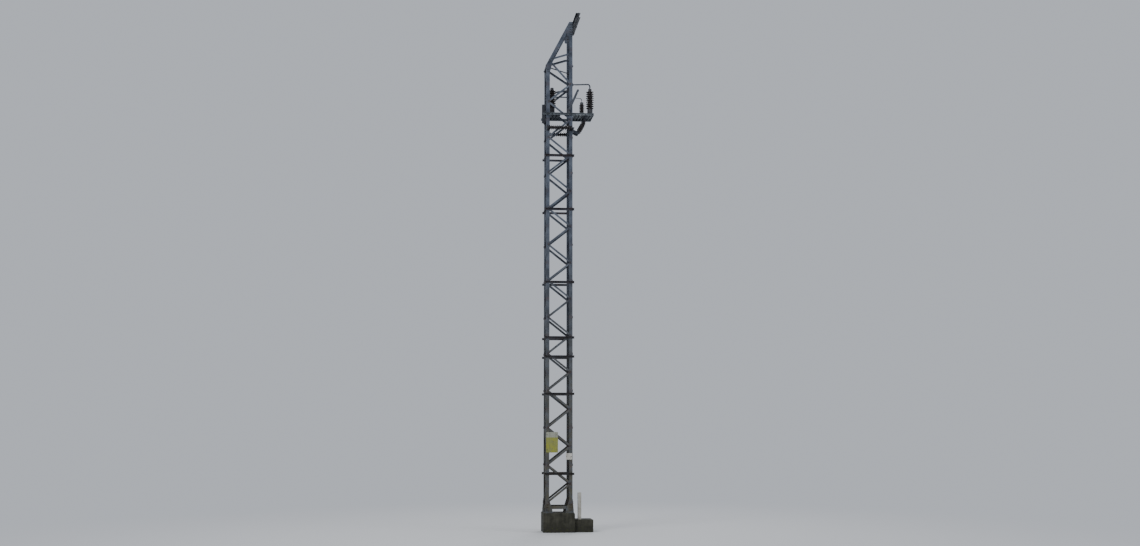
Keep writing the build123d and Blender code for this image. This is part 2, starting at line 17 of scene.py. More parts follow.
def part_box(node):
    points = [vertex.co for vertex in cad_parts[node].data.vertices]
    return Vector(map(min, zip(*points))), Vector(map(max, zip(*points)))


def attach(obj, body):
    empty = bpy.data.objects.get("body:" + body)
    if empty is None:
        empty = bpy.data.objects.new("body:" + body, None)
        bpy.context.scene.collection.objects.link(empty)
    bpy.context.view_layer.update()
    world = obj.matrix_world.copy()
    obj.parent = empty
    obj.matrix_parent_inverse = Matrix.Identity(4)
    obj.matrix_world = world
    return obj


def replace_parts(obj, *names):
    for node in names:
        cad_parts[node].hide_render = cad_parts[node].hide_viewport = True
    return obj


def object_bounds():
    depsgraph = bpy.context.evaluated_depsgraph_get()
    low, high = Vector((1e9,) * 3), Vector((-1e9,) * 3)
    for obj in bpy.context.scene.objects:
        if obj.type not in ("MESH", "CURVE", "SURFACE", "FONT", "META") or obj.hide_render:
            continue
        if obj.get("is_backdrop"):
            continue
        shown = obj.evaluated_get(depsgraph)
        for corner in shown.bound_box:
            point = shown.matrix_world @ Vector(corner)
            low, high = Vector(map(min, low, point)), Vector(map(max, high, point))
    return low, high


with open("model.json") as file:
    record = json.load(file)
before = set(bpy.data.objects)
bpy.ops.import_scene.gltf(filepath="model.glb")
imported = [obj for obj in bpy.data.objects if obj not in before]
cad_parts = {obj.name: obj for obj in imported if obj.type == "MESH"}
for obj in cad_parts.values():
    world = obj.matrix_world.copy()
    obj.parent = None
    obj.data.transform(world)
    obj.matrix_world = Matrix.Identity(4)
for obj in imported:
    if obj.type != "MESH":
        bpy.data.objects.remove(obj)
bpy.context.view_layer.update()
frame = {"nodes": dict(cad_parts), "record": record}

# %% [markdown]
# ## Sizes that every step shares
# Rust, bolts and plates all have to meet the same steel. Their places could be measured on the model
# and typed in, but a number that is typed twice soon disagrees with itself. So the faces that they
# meet are read from the boxes of the frame's nodes, and most other places are counted from those
# faces. The lacing climbs in equal rises from just over the foot to just under the knee, where the
# raked head begins.

# %% Sizes read from the frame
def face(node, side):
    """One face of a node's box, named by its side, such as "+Z", to a tenth of a millimetre."""
    return round(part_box(node)["-+".index(side[0])]["XYZ".index(side[1])], 4)


HALF = face("leg_near_right", "+X")
LEG = round(HALF - face("leg_near_right", "-X"), 4)
FOOT = face("foot_plates", "+Z")
KNEE = face("leg_near_left", "+Z")
APEX = face("leg_near_right", "+Z")
SHELF = face("shelf_channel_near", "+Z")
BAYS = 24
FIRST_JOINT = face("foundation_block", "+Z") + 0.27
JOINT_RISE = round((KNEE - 0.06 - FIRST_JOINT) / BAYS, 4)
print("half width", HALF, "knee", KNEE, "apex", APEX, "shelf", SHELF, "rise of a bar", JOINT_RISE)

# %% [markdown]
# ## Shader sums written as sums
# A pattern on steel is mostly arithmetic: this much rust where the noise is high and the height is
# low. Math nodes can be wired by hand, but the sum is then hard to read. A small class that holds one
# socket and knows plus, minus and times lets each mask be written as a line of Python, and every line
# still ends up as ordinary nodes.

# %% A socket that takes part in sums
class Term:
    """One number socket of a node tree."""

    def __init__(self, tree, socket):
        self.tree = tree
        self.socket = socket

    def math(self, operation, *values, clamp=False):
        node = self.tree.nodes.new("ShaderNodeMath")
        node.operation = operation
        node.use_clamp = clamp
        for slot, value in zip(node.inputs, (self, *values)):
            plug(self.tree, slot, value)
        return Term(self.tree, node.outputs[0])

    def __add__(self, other):
        return self.math("ADD", other)

    def __sub__(self, other):
        return self.math("SUBTRACT", other)

    def __rsub__(self, other):
        return (self * -1.0) + other

    def __mul__(self, other):
        return self.math("MULTIPLY", other)

    def __truediv__(self, other):
        return self.math("DIVIDE", other)

    def __pow__(self, other):
        return self.math("POWER", other)

    __radd__ = __add__
    __rmul__ = __mul__

    def clip(self):
        return self.math("ADD", 0.0, clamp=True)

    def away(self, level):
        """How far the number lies from a level, whichever way."""
        return self.math("SUBTRACT", level).math("ABSOLUTE")

    def step(self, low, high):
        """0 below low, 1 above high, and smooth between."""
        node = self.tree.nodes.new("ShaderNodeMapRange")
        node.interpolation_type = "SMOOTHSTEP"
        for name, value in (("Value", self), ("From Min", low), ("From Max", high)):
            plug(self.tree, node.inputs[name], value)
        return Term(self.tree, node.outputs["Result"])


# %% Filling a socket
def plug(tree, slot, value):
    """Links a term or socket to an input, or sets a plain value on it."""
    if isinstance(value, Term):
        tree.links.new(value.socket, slot)
    elif isinstance(value, bpy.types.NodeSocket):
        tree.links.new(value, slot)
    else:
        slot.default_value = value


# %% [markdown]
# ## One place to make nodes
# Every other node comes from one method, which sets the node's own settings first and its sockets
# after. Each finish could make its nodes in its own way, but then every reader has to learn each of
# them. Finishes and Geometry Nodes trees share this method, and the few patterns that all finishes
# need, such as noise at a size in metres, are built on it, so a finish below reads like a recipe.

# %% The method that makes a node
class Wiring:
    """A node tree, and the one way to add nodes to it."""

    def __init__(self, tree):
        self.tree = tree

    def node(self, kind, settings=None, **sockets):
        """A new node. An underscore in a socket's name stands for a space."""
        made = self.tree.nodes.new(kind)
        for name, value in (settings or {}).items():
            setattr(made, name, value)
        for name, value in sockets.items():
            plug(self.tree, made.inputs[name.replace("_", " ")], value)
        return made


# %% A finish under construction
class Finish(Wiring):
    """A material with one Principled shader, and the nodes that feed it."""

    def __init__(self, name, **constants):
        self.material = bpy.data.materials.new(name)
        self.material.use_nodes = True
        super().__init__(self.material.node_tree)
        self.shader = next(n for n in self.tree.nodes if n.type == "BSDF_PRINCIPLED")
        self.place = self.node("ShaderNodeTexCoord").outputs["Object"]
        self.paint(**constants)

    def coordinate(self, vector, letter):
        split = self.node("ShaderNodeSeparateXYZ", Vector=vector)
        return Term(self.tree, split.outputs[letter])

    def axis(self, letter):
        """A coordinate of the place, in metres."""
        return self.coordinate(self.place, letter)

    def facing(self, letter):
        """How squarely the surface looks along an axis, from -1 to 1."""
        return self.coordinate(self.node("ShaderNodeNewGeometry").outputs["Normal"], letter)

    def noise(self, size, detail=4.0, roughness=0.55, stretch=(1, 1, 1), shift=0.0):
        """Noise whose blobs are about size metres, drawn out along an axis by stretch."""
        scale = [1.0 / (size * s) for s in stretch]
        moved = self.node("ShaderNodeMapping", Vector=self.place, Scale=scale, Location=(shift,) * 3)
        made = self.node(
            "ShaderNodeTexNoise",
            Vector=moved.outputs[0],
            Scale=1.0,
            Detail=detail,
            Roughness=roughness,
        )
        return Term(self.tree, made.outputs[0])

    def cells(self, size, output="Color"):
        """Cells about size metres wide: a tone for each, or the distance from its middle."""
        made = self.node("ShaderNodeTexVoronoi", Vector=self.place, Scale=1.0 / size)
        if output == "Distance":
            return Term(self.tree, made.outputs["Distance"])
        split = self.node("ShaderNodeSeparateColor", Color=made.outputs["Color"])
        return Term(self.tree, split.outputs[0])

    def blend(self, mask, first, second):
        """The first colour where mask is 0 and the second where it is 1."""
        made = self.node("ShaderNodeMix", {"data_type": "RGBA"})
        slots = [s for s in made.inputs if s.enabled]
        for slot, value in zip(slots, (mask, first, second)):
            plug(self.tree, slot, value)
        return next(s for s in made.outputs if s.enabled)

    def paint(self, **sockets):
        """Feeds the shader's own sockets."""
        for name, value in sockets.items():
            plug(self.tree, self.shader.inputs[name.replace("_", " ")], value)

    def bump(self, height, distance, strength):
        made = self.node("ShaderNodeBump", Height=height, Distance=distance, Strength=strength)
        self.paint(Normal=made.outputs[0])

    def done(self):
        print("finish", self.material.name, "nodes", len(self.tree.nodes))
        return self.material


# %% Colours
def rgb(red, green, blue):
    """A colour as the eye names it, 0 to 255, turned into the linear values that a shader takes."""
    shares = [c / 255 for c in (red, green, blue)]
    linear = [((s + 0.055) / 1.055) ** 2.4 if s > 10 / 255 else s / 12.92 for s in shares]
    return (*linear, 1.0)


# %% [markdown]
# ## Weathered zinc
# Hot-dip zinc starts bright and goes dull grey in a few years. Beside a railway it also takes a brown
# film of brake dust low down and soot higher up, and it rusts where two bars meet and hold water. The
# finish is layered the same way: faint crystal cells first, then broad clouds of tarnish, streaks
# drawn out downwards, and rust last. Painting these by hand would take an image for every metre of
# the mast, while noise in object coordinates never repeats. The lacing meets the legs at even heights,
# so the height alone tells where a joint is: each one gets a dark bloom, and the runs of rust below
# it fade out downwards.

# %% Zinc
RUST_DARK = rgb(74, 46, 32)
RUST_LIGHT = rgb(122, 78, 50)
FILM_FADES = (0.6, 9.0)


def zinc(name, light, dark, film, rust):
    """Dull zinc: light and dark are its two greys, and film is the dust that gathers low down."""
    f = Finish(name, Metallic=0.35, Specular_IOR_Level=0.4)
    clouds = f.noise(0.35, detail=5.0).step(0.34, 0.68)
    crystals = f.cells(0.018) * 0.22
    runs = f.noise(0.03, detail=3.0, stretch=(1, 1, 14)).step(0.5, 0.72) * 0.6
    base = f.blend((clouds + crystals).clip(), light, dark)
    base = f.blend((runs * 0.7).clip(), base, dark)

    height = f.axis("Z")
    low = 1.0 - height.step(*FILM_FADES)
    dusty = f.noise(0.12, detail=4.0, shift=3.0).step(0.28, 0.62)
    dust = (low * (dusty * 0.6 + 0.35)).clip()
    base = f.blend(dust, base, film)

    joints = (height - FIRST_JOINT) / JOINT_RISE
    bloom = 1.0 - (joints + 0.5).math("FRACT").away(0.5).step(0.03, 0.17)
    drips = f.noise(0.016, detail=3.0, stretch=(1, 1, 22), shift=31.0).step(0.56, 0.7)
    under = joints.math("FRACT").step(0.35, 1.0) * drips
    spots = f.noise(0.045, detail=6.0, roughness=0.65, shift=9.0).step(0.66 - 0.08 * rust, 0.74)
    patches = f.noise(0.5, detail=3.0, shift=17.0).step(0.5, 0.66)
    worn = f.noise(0.03, detail=5.0, roughness=0.7, shift=27.0).step(0.46, 0.66)
    scattered = spots * (patches * 0.8 + 0.25) * rust
    rusted = (scattered + bloom * worn * rust * 0.5 + under * rust * 0.35).clip()
    base = f.blend((bloom * 0.3).clip(), base, dark)
    base = f.blend(rusted, base, f.blend(f.noise(0.01, shift=5.0), RUST_DARK, RUST_LIGHT))

    f.paint(
        Base_Color=base,
        Roughness=(0.5 + clouds * 0.2 + dust * 0.2 + rusted * 0.2).clip(),
        Metallic=(0.45 - dust * 0.3 - rusted * 0.45 - runs * 0.15).clip(),
    )
    grain = f.noise(0.004, detail=3.0) + rusted * 1.5 + f.noise(0.06, detail=2.0, shift=7.0) * 0.8
    f.bump(grain, 0.0012, 0.5)
    return f.done()


mast_zinc = zinc("mast_zinc", rgb(92, 100, 112), rgb(58, 65, 77), rgb(76, 74, 63), rust=0.7)
lacing_zinc = zinc("lacing_zinc", rgb(98, 106, 117), rgb(62, 69, 80), rgb(80, 77, 66), rust=0.8)
shelf_zinc = zinc("shelf_zinc", rgb(120, 127, 131), rgb(82, 88, 94), rgb(84, 80, 68), rust=0.4)
collar_zinc = zinc("collar_zinc", rgb(66, 72, 82), rgb(38, 43, 51), rgb(54, 49, 42), rust=1.0)
bolt_zinc = zinc("bolt_zinc", rgb(88, 92, 98), rgb(50, 54, 60), rgb(70, 62, 52), rust=1.0)

# %% [markdown]
# ## Dark paint on the beam
# The beam reads almost black from below. It is old bitumen paint over steel: matt, a little blue, and
# lifting in small scabs. The scabs could be modelled, but they are thinner than a coin, so one mask
# colours them and also dents the surface, which makes them catch the light.

# %% Dark paint
def dark_paint(name, tone, worn):
    f = Finish(name, Metallic=0.0)
    clouds = f.noise(0.25, detail=5.0).step(0.35, 0.7)
    scabs = f.noise(0.02, detail=6.0, roughness=0.7, shift=4.0).step(0.63, 0.68)
    patches = f.noise(0.3, shift=21.0).step(0.48, 0.62)
    lifted = (scabs * patches).clip()
    base = f.blend(clouds * 0.5, tone, worn)
    base = f.blend(lifted, base, RUST_DARK)
    f.paint(Base_Color=base, Roughness=(0.42 + clouds * 0.2 + lifted * 0.3).clip())
    f.bump(f.noise(0.006) * 0.5 + (1.0 - lifted), 0.0012, 0.5)
    return f.done()


beam_paint = dark_paint("beam_paint", rgb(22, 26, 35), rgb(38, 43, 54))

# %% [markdown]
# ## Glazed porcelain
# The insulators are dark brown porcelain, almost black from afar. The glaze is glossy where rain
# washes it and dull on the undersides, where soot stays. Soot could be painted on each shed, but
# there are dozens of them. The normal's upward part tells washed from unwashed, as rain does too.

# %% Porcelain
GLAZE_SOOT = rgb(18, 18, 23)


def porcelain(name, warm, deep):
    f = Finish(name, Specular_IOR_Level=0.55)
    soot = (0.55 - f.facing("Z") * 0.45 + f.noise(0.06, detail=4.0) * 0.3).clip()
    glaze = f.blend(f.noise(0.15, detail=3.0, shift=2.0).step(0.35, 0.65), warm, deep)
    f.paint(
        Base_Color=f.blend(soot * 0.6, glaze, GLAZE_SOOT),
        Roughness=(0.14 + soot * 0.45).clip(),
        Coat_Weight=(0.7 - soot * 0.6).clip(),
    )
    f.bump(f.noise(0.02, detail=2.0), 0.0006, 0.25)
    return f.done()


brown_glaze = porcelain("brown_glaze", rgb(30, 19, 19), rgb(17, 12, 15))

# %% [markdown]
# ## Cast fittings and bare conductors
# Caps and feet of the insulators are cast iron with a sandy skin, so their bump is finer and stronger
# than that of rolled steel. The lugs and brackets under the shelf are drawn nearly black, so the same
# recipe gives a second, darker cast.
# Conductors are drawn metal with a dull grey oxide, which needs no cells and no rust.

# %% Cast iron and conductor metal
def cast_iron(name, light, dark):
    f = Finish(name, Metallic=0.4)
    clouds = f.noise(0.08, detail=5.0).step(0.35, 0.7)
    rusted = (f.noise(0.03, detail=6.0, roughness=0.7, shift=6.0).step(0.52, 0.7) * 0.7).clip()
    f.paint(
        Base_Color=f.blend(rusted, f.blend(clouds, light, dark), RUST_DARK),
        Roughness=(0.55 + rusted * 0.25).clip(),
        Metallic=(0.45 - rusted * 0.45).clip(),
    )
    f.bump(f.noise(0.0035, detail=2.0) + rusted, 0.001, 0.6)
    return f.done()


def conductor(name, bright, oxide):
    f = Finish(name)
    drawn = f.noise(0.004, detail=2.0, stretch=(9, 9, 9))
    dull = f.noise(0.1, detail=4.0, shift=8.0).step(0.35, 0.7)
    f.paint(
        Base_Color=f.blend(dull, bright, oxide),
        Roughness=(0.34 + dull * 0.25 + drawn * 0.1).clip(),
        Metallic=(0.85 - dull * 0.3).clip(),
    )
    f.bump(drawn, 0.0005, 0.3)
    return f.done()


fitting_iron = cast_iron("cast_fitting", rgb(74, 77, 82), rgb(46, 49, 54))
# A darker copy of the same recipe, for the lugs and brackets under the shelf.
under_shelf_iron = cast_iron("sooty_fitting", rgb(44, 46, 52), rgb(26, 28, 33))
bare_metal = conductor("conductor_metal", rgb(88, 93, 101), rgb(54, 59, 67))

# %% [markdown]
# ## Old concrete
# The block was cast in boards, so faint lines run level round it. Air bubbles leave pits, rain leaves
# dark runs from the top edge, and the foot is dark with damp and moss. A photograph of concrete would
# put its runs where it likes, so each layer is a mask of its own: the pits are small dark cells that
# also dent the surface, and the moss follows the height, which is how damp climbs.

# %% Concrete
BOARD = 0.12
DAMP = rgb(38, 37, 32)
MOSS = rgb(58, 62, 32)
PIT = rgb(24, 23, 21)


def concrete(name, pale, dark, damp_top, moss=1.0, board_marks=0.8):
    f = Finish(name, Specular_IOR_Level=0.25)
    height = f.axis("Z")
    clouds = f.noise(0.16, detail=7.0, roughness=0.6).step(0.32, 0.7)
    sand = f.noise(0.006, detail=3.0, shift=2.0)
    pits = 1.0 - f.cells(0.035, "Distance").step(0.05, 0.16)
    pits = (pits * f.noise(0.09, shift=12.0).step(0.5, 0.6)).clip()
    runs = f.noise(0.035, detail=4.0, stretch=(1, 1, 9), shift=5.0).step(0.48, 0.7)
    boards = (height / BOARD).math("FRACT").away(0.5).step(0.46, 0.5)
    wander = f.noise(0.2, detail=5.0, shift=9.0) * 0.3 - 0.15
    damp = (1.0 - (height + wander).step(0.0, damp_top)).clip()
    growth = f.noise(0.05, detail=6.0, roughness=0.7, shift=14.0).step(0.5, 0.66)
    green = (damp * growth * moss).clip()
    base = f.blend((clouds * 0.8 + sand * 0.3).clip(), pale, dark)
    base = f.blend((runs * 0.55).clip(), base, dark)
    base = f.blend((damp * 0.85).clip(), base, DAMP)
    base = f.blend(green, base, MOSS)
    base = f.blend((pits * 0.7).clip(), base, PIT)
    f.paint(Base_Color=base, Roughness=(0.92 - damp * 0.2).clip())
    relief = sand * 0.35 + clouds * 0.6 - pits * 1.6 - boards * board_marks + green * 0.8
    f.bump(relief, 0.004, 0.8)
    return f.done()


# The block's two greys are darker than clean concrete: partly old, damp concrete and partly painted
# shade over the whole block and ledge.
block_concrete = concrete("block_concrete", rgb(70, 69, 60), rgb(40, 40, 34), damp_top=0.34)
marker_concrete = concrete(
    "marker_concrete",
    rgb(184, 182, 174),
    rgb(146, 144, 136),
    damp_top=0.2,
    moss=0.3,
    board_marks=0.0,
)

# %% [markdown]
# ## Painted plates
# Two small plates hang low on the mast: a yellow one with a paler strip along its top, and a white
# one. Paint chalks in the sun and chips at the edge, so the colour varies and rust shows in small
# spots. The backs were never painted. They could be given a material of their own, face by face, but
# they are simply the faces whose normal points along +Y, so the normal tells them apart.

# %% Plate paints
PLATE_BACK = rgb(88, 92, 95)
PLATE_GRIME = rgb(86, 80, 62)
STRIP_LEVEL = 2.44
STRIP_BLUR = 0.002


def plate_paint(name, tone, faded, strip=None):
    f = Finish(name, Specular_IOR_Level=0.35)
    chalk = f.noise(0.08, detail=5.0).step(0.3, 0.7)
    chips = f.noise(0.012, detail=5.0, roughness=0.7, shift=6.0).step(0.68, 0.72)
    base = f.blend(chalk, tone, faded)
    if strip:
        above = f.axis("Z").step(STRIP_LEVEL - STRIP_BLUR, STRIP_LEVEL + STRIP_BLUR)
        base = f.blend(above, base, strip)
    grime = f.noise(0.03, detail=3.0, stretch=(1, 1, 8), shift=3.0).step(0.5, 0.72) * 0.4
    base = f.blend(grime.clip(), base, PLATE_GRIME)
    base = f.blend(f.facing("Y").step(0.3, 0.6), base, PLATE_BACK)
    base = f.blend(chips, base, RUST_DARK)
    f.paint(Base_Color=base, Roughness=(0.45 + chalk * 0.25).clip())
    f.bump(f.noise(0.01) * 0.3 + (1.0 - chips), 0.0006, 0.4)
    return f.done()


# The yellow and its pale strip are darker than fresh paint: partly chalked paint and partly painted
# shade.
yellow_plate = plate_paint("yellow_plate", rgb(136, 138, 48), rgb(120, 123, 74), rgb(142, 144, 131))
white_plate = plate_paint("white_plate", rgb(190, 188, 181), rgb(164, 162, 154))

# %% [markdown]
# ## Which finish goes where
# The record names a material slot for every node, so the finishes are handed out from that list,
# which leaves no node out. The lacing gets a zinc of its own, a little lighter, because thin bars
# shed the dust that the broad legs hold, and the rails and lugs under the shelf get darker finishes
# than the shelf itself.

# %% Finish for each node of the frame
FINISH = {
    "galvanised_steel": mast_zinc,
    "shelf_steel": shelf_zinc,
    "dark_steel": beam_paint,
    "collar_steel": collar_zinc,
    "porcelain": brown_glaze,
    "fitting_metal": fitting_iron,
    "conductor": bare_metal,
    "concrete": block_concrete,
    "marker_concrete": marker_concrete,
}
SPECIAL = {
    "lacing": lacing_zinc,
    "head_bar": lacing_zinc,
    "strut_rails": collar_zinc,
    "strut_ends": under_shelf_iron,
    "cross_brackets": under_shelf_iron,
}
for part in frame["record"]["subparts"]:
    name = part["node"]
    special = next((m for start, m in SPECIAL.items() if name.startswith(start)), None)
    materials = frame["nodes"][name].data.materials
    materials.clear()
    materials.append(special or FINISH[part["material_slot"]])

# %% [markdown]
# ## Insulators grown by Geometry Nodes
# A shedded insulator is one rule repeated: the radius climbs fast under each skirt and falls slowly
# above it. So the body is a straight curve, cut into many short steps, whose radius follows that
# rule, with a circle swept along it. The number of sheds, both radii and the length are inputs, and
# the same tree makes the upright, the lying and the inclined ones. A lathe profile would need a new
# list of points for each.

# %% A Geometry Nodes tree under construction
class Grower(Wiring):
    """A Geometry Nodes tree with named inputs, each given as its kind and its usual value."""

    def __init__(self, name, **inputs):
        super().__init__(bpy.data.node_groups.new(name, "GeometryNodeTree"))
        sockets = self.tree.interface
        sockets.new_socket("Geometry", in_out="INPUT", socket_type="NodeSocketGeometry")
        for label, (kind, value) in inputs.items():
            made = sockets.new_socket(label, in_out="INPUT", socket_type="NodeSocket" + kind)
            made.default_value = value
        sockets.new_socket("Material", in_out="INPUT", socket_type="NodeSocketMaterial")
        sockets.new_socket("Geometry", in_out="OUTPUT", socket_type="NodeSocketGeometry")
        self.start = self.node("NodeGroupInput")
        self.end = self.node("NodeGroupOutput")

    def given(self, label):
        return Term(self.tree, self.start.outputs[label])

    def swept(self, curve, radius, corners):
        """A round bar along a curve, as thick at each step as the radius there."""
        swollen = self.node("GeometryNodeSetCurveRadius", Curve=curve, Radius=radius)
        ring = self.node("GeometryNodeCurvePrimitiveCircle", Resolution=corners, Radius=1.0)
        bar = self.node(
            "GeometryNodeCurveToMesh",
            Curve=swollen.outputs[0],
            Profile_Curve=ring.outputs[0],
            Scale=self.node("GeometryNodeInputRadius").outputs[0],
            Fill_Caps=True,
        )
        return self.node("GeometryNodeSetShadeSmooth", Geometry=bar.outputs[0]).outputs[0]

    def close(self, geometry):
        """Ends the tree: instances are made real, and everything gets the material."""
        realized = self.node("GeometryNodeRealizeInstances", Geometry=geometry)
        finished = self.node(
            "GeometryNodeSetMaterial", Geometry=realized.outputs[0], Material=self.given("Material")
        )
        plug(self.tree, self.end.inputs[0], finished.outputs[0])
        print("tree", self.tree.name, "nodes", len(self.tree.nodes))
        return self.tree


# %% The shed tree
SHED_STEPS = 22
SHED_CORNERS = 40
LAST_SHED = 0.9999


def shed_tree():
    g = Grower(
        "sheds",
        Length=("Float", 0.47),
        Sheds=("Int", 8),
        Core=("Float", 0.045),
        Skirt=("Float", 0.09),
    )
    core, skirt = g.given("Core"), g.given("Skirt")
    end = g.node("ShaderNodeCombineXYZ", Z=g.given("Length"))
    line = g.node("GeometryNodeCurvePrimitiveLine", End=end.outputs[0])
    count = g.given("Sheds") * float(SHED_STEPS) + 1.0
    steps = g.node("GeometryNodeResampleCurve", Curve=line.outputs[0], Count=count)
    along = Term(g.tree, g.node("GeometryNodeSplineParameter").outputs["Factor"])
    phase = (along * g.given("Sheds") * LAST_SHED).math("FRACT")
    rise = phase.step(0.16, 0.3)
    lip = 1.0 - phase.step(0.36, 0.46) * 0.35
    fall = 1.0 - phase.step(0.4, 0.98)
    radius = core + (skirt - core) * (rise * lip * fall) * 1.25
    return g.close(g.swept(steps.outputs[0], radius.math("MINIMUM", skirt), SHED_CORNERS))


sheds = shed_tree()


# %% Growing a mesh and making it a piece
def grow(name, tree, inputs, seed_mesh=None):
    """Runs a tree on a mesh and returns its result as a plain mesh."""
    mesh = seed_mesh or bpy.data.meshes.new(name + "_seed")
    made = bpy.data.objects.new(name + "_seed", mesh)
    bpy.context.scene.collection.objects.link(made)
    modifier = made.modifiers.new("grow", "NODES")
    modifier.node_group = tree
    sockets = {s.name: s.identifier for s in tree.interface.items_tree if s.in_out == "INPUT"}
    for label, value in inputs.items():
        modifier[sockets[label]] = value
    evaluated = made.evaluated_get(bpy.context.evaluated_depsgraph_get())
    result = bpy.data.meshes.new_from_object(evaluated)
    made.modifiers.remove(modifier)
    bpy.data.objects.remove(made)
    result.name = name
    return result


def piece(name, mesh, material=None):
    """Puts a finished mesh in the scene as a piece that rides on the mast."""
    made = bpy.data.objects.new(name, mesh)
    bpy.context.scene.collection.objects.link(made)
    if material:
        mesh.materials.clear()
        mesh.materials.append(material)
    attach(made, "root")
    return made


# %% [markdown]
# ## Where each insulator stands
# The frame knows where every insulator is, so no place is typed in. Upright and lying ones fill their
# node's box along one axis, and their length and both ends come from the box. The inclined ones point
# the way in which the corners of their mesh spread the most, and end at the outermost of them.

# %% Insulators
UPRIGHT = {"left_insulator": 9, "right_insulator": 9, "small_insulator": 6}
LYING = {"cross_insulator_near": 11, "cross_insulator_far": 11}
INCLINED = {"strut_insulator_near": 7, "strut_insulator_far": 7}
UPRIGHT_CORE, OTHER_CORE = 0.52, 0.5


def ends_of_box(name):
    """The lowest and the highest corner of a node's box."""
    return (Vector(corner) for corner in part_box(name))


def insulator(name, start, end, count, skirt, core_share):
    """Grows one insulator from its start to its end and stands it in for its node."""
    along = end - start
    core = skirt * core_share
    inputs = {"Length": along.length, "Sheds": count, "Core": core, "Skirt": skirt}
    mesh = grow(name + "_body", sheds, {**inputs, "Material": brown_glaze})
    turn = along.to_track_quat("Z", "Y").to_matrix().to_4x4()
    mesh.transform(Matrix.Translation(start) @ turn)
    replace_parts(piece(name + "_body", mesh), name)
    print(name, "sheds", count, "length", round(along.length, 3), "faces", len(mesh.polygons))


for group, axis, across, share in ((UPRIGHT, 2, 0, UPRIGHT_CORE), (LYING, 0, 2, OTHER_CORE)):
    for name, count in group.items():
        low, high = ends_of_box(name)
        start, end = (low + high) / 2, (low + high) / 2
        start[axis], end[axis] = low[axis], high[axis]
        insulator(name, start, end, count, (high[across] - low[across]) / 2, share)

for name, count in INCLINED.items():
    low, high = ends_of_box(name)
    middle = (low + high) / 2
    offsets = [v.co - middle for v in frame["nodes"][name].data.vertices]
    points = np.array(offsets)
    along = Vector(np.linalg.eigh(points.T @ points)[1][:, 2])
    along = along if along.z > 0 else -along
    reach = [offset.dot(along) for offset in offsets]
    start, end = middle + along * min(reach), middle + along * max(reach)
    insulator(name, start, end, count, (high.y - low.y) / 2, OTHER_CORE)

# %% [markdown]
# ## One fastener, set out hundreds of times
# A hexagon head, a washer and the end of a thread are modelled once, inside a Geometry Nodes tree, and
# stood on every point of a seed mesh. Each point carries the way its bolt looks and its size as
# attributes, and the spanner never stops at the same angle twice, so each head is spun by a seeded
# random amount. Objects could be placed one by one instead, but hundreds of them are slow to set out
# and slower to change.

# %% The shape of one bolt
CORNER_RADIUS = 1 / 3**0.5
SHORTEST_THREAD = 0.0005


def bolt_shape(g):
    """A block with a tapered crown, on a washer, with the end of a thread over it if it has one."""
    across, height = g.given("Across"), g.given("Height")
    washer, thread = g.given("Washer"), g.given("Thread")

    def disc(corners, radius, depth, middle):
        """A disc with so many corners on the bolt's axis, and which of its faces is the top."""
        sizes = {"Vertices": corners, "Radius": radius, "Depth": depth}
        made = g.node("GeometryNodeMeshCylinder", {"fill_type": "NGON"}, **sizes)
        lift = g.node("ShaderNodeCombineXYZ", Z=middle).outputs[0]
        moved = g.node("GeometryNodeTransform", Geometry=made.outputs["Mesh"], Translation=lift)
        return moved.outputs[0], made.outputs["Top"]

    block, top = disc(6, across * CORNER_RADIUS, height, washer + height * 0.5)
    crown = g.node(
        "GeometryNodeExtrudeMesh",
        {"mode": "FACES"},
        Mesh=block,
        Selection=top,
        Offset_Scale=height * 0.14,
    )
    taper = g.node(
        "GeometryNodeScaleElements",
        {"domain": "FACE"},
        Geometry=crown.outputs["Mesh"],
        Selection=crown.outputs["Top"],
        Scale=0.84,
    )
    ring, _ = disc(16, across * 0.64, washer, washer * 0.4)
    end, _ = disc(10, across * 0.33, thread, washer + height * 1.1 + thread * 0.5)
    threaded = thread.math("GREATER_THAN", SHORTEST_THREAD)
    shown = g.node(
        "GeometryNodeSwitch", {"input_type": "GEOMETRY"}, Switch=threaded, **{"True": end}
    )
    bolt = g.node("GeometryNodeJoinGeometry")
    for solid in (taper.outputs[0], ring, shown.outputs[0]):
        g.tree.links.new(solid, bolt.inputs[0])
    return bolt.outputs[0]


# %% The bolt tree
ACROSS = 0.024
WASHER = 0.003


def bolt_tree():
    g = Grower(
        "bolts",
        Across=("Float", ACROSS),
        Height=("Float", 0.012),
        Washer=("Float", WASHER),
        Thread=("Float", 0.008),
        Seed=("Int", 5),
    )
    way = g.node("GeometryNodeInputNamedAttribute", {"data_type": "FLOAT_VECTOR"}, Name="facing")
    size = g.node("GeometryNodeInputNamedAttribute", {"data_type": "FLOAT"}, Name="size")
    look = g.node("FunctionNodeAlignRotationToVector", {"axis": "Z"}, Vector=way.outputs[0])
    chance = g.node("FunctionNodeRandomValue", {"data_type": "FLOAT"}, Seed=g.given("Seed"))
    next(s for s in chance.inputs if s.enabled and s.name == "Max").default_value = math.pi / 3
    angle = next(s for s in chance.outputs if s.enabled)
    spin = g.node("FunctionNodeAxisAngleToRotation", Axis=(0, 0, 1), Angle=angle)
    turned = g.node(
        "FunctionNodeRotateRotation",
        {"rotation_space": "LOCAL"},
        Rotation=look.outputs[0],
        Rotate_By=spin.outputs[0],
    )
    spread = g.node(
        "GeometryNodeInstanceOnPoints",
        Points=g.start.outputs["Geometry"],
        Instance=bolt_shape(g),
        Rotation=turned.outputs[0],
        Scale=size.outputs[0],
    )
    return g.close(spread.outputs[0])


bolts = bolt_tree()


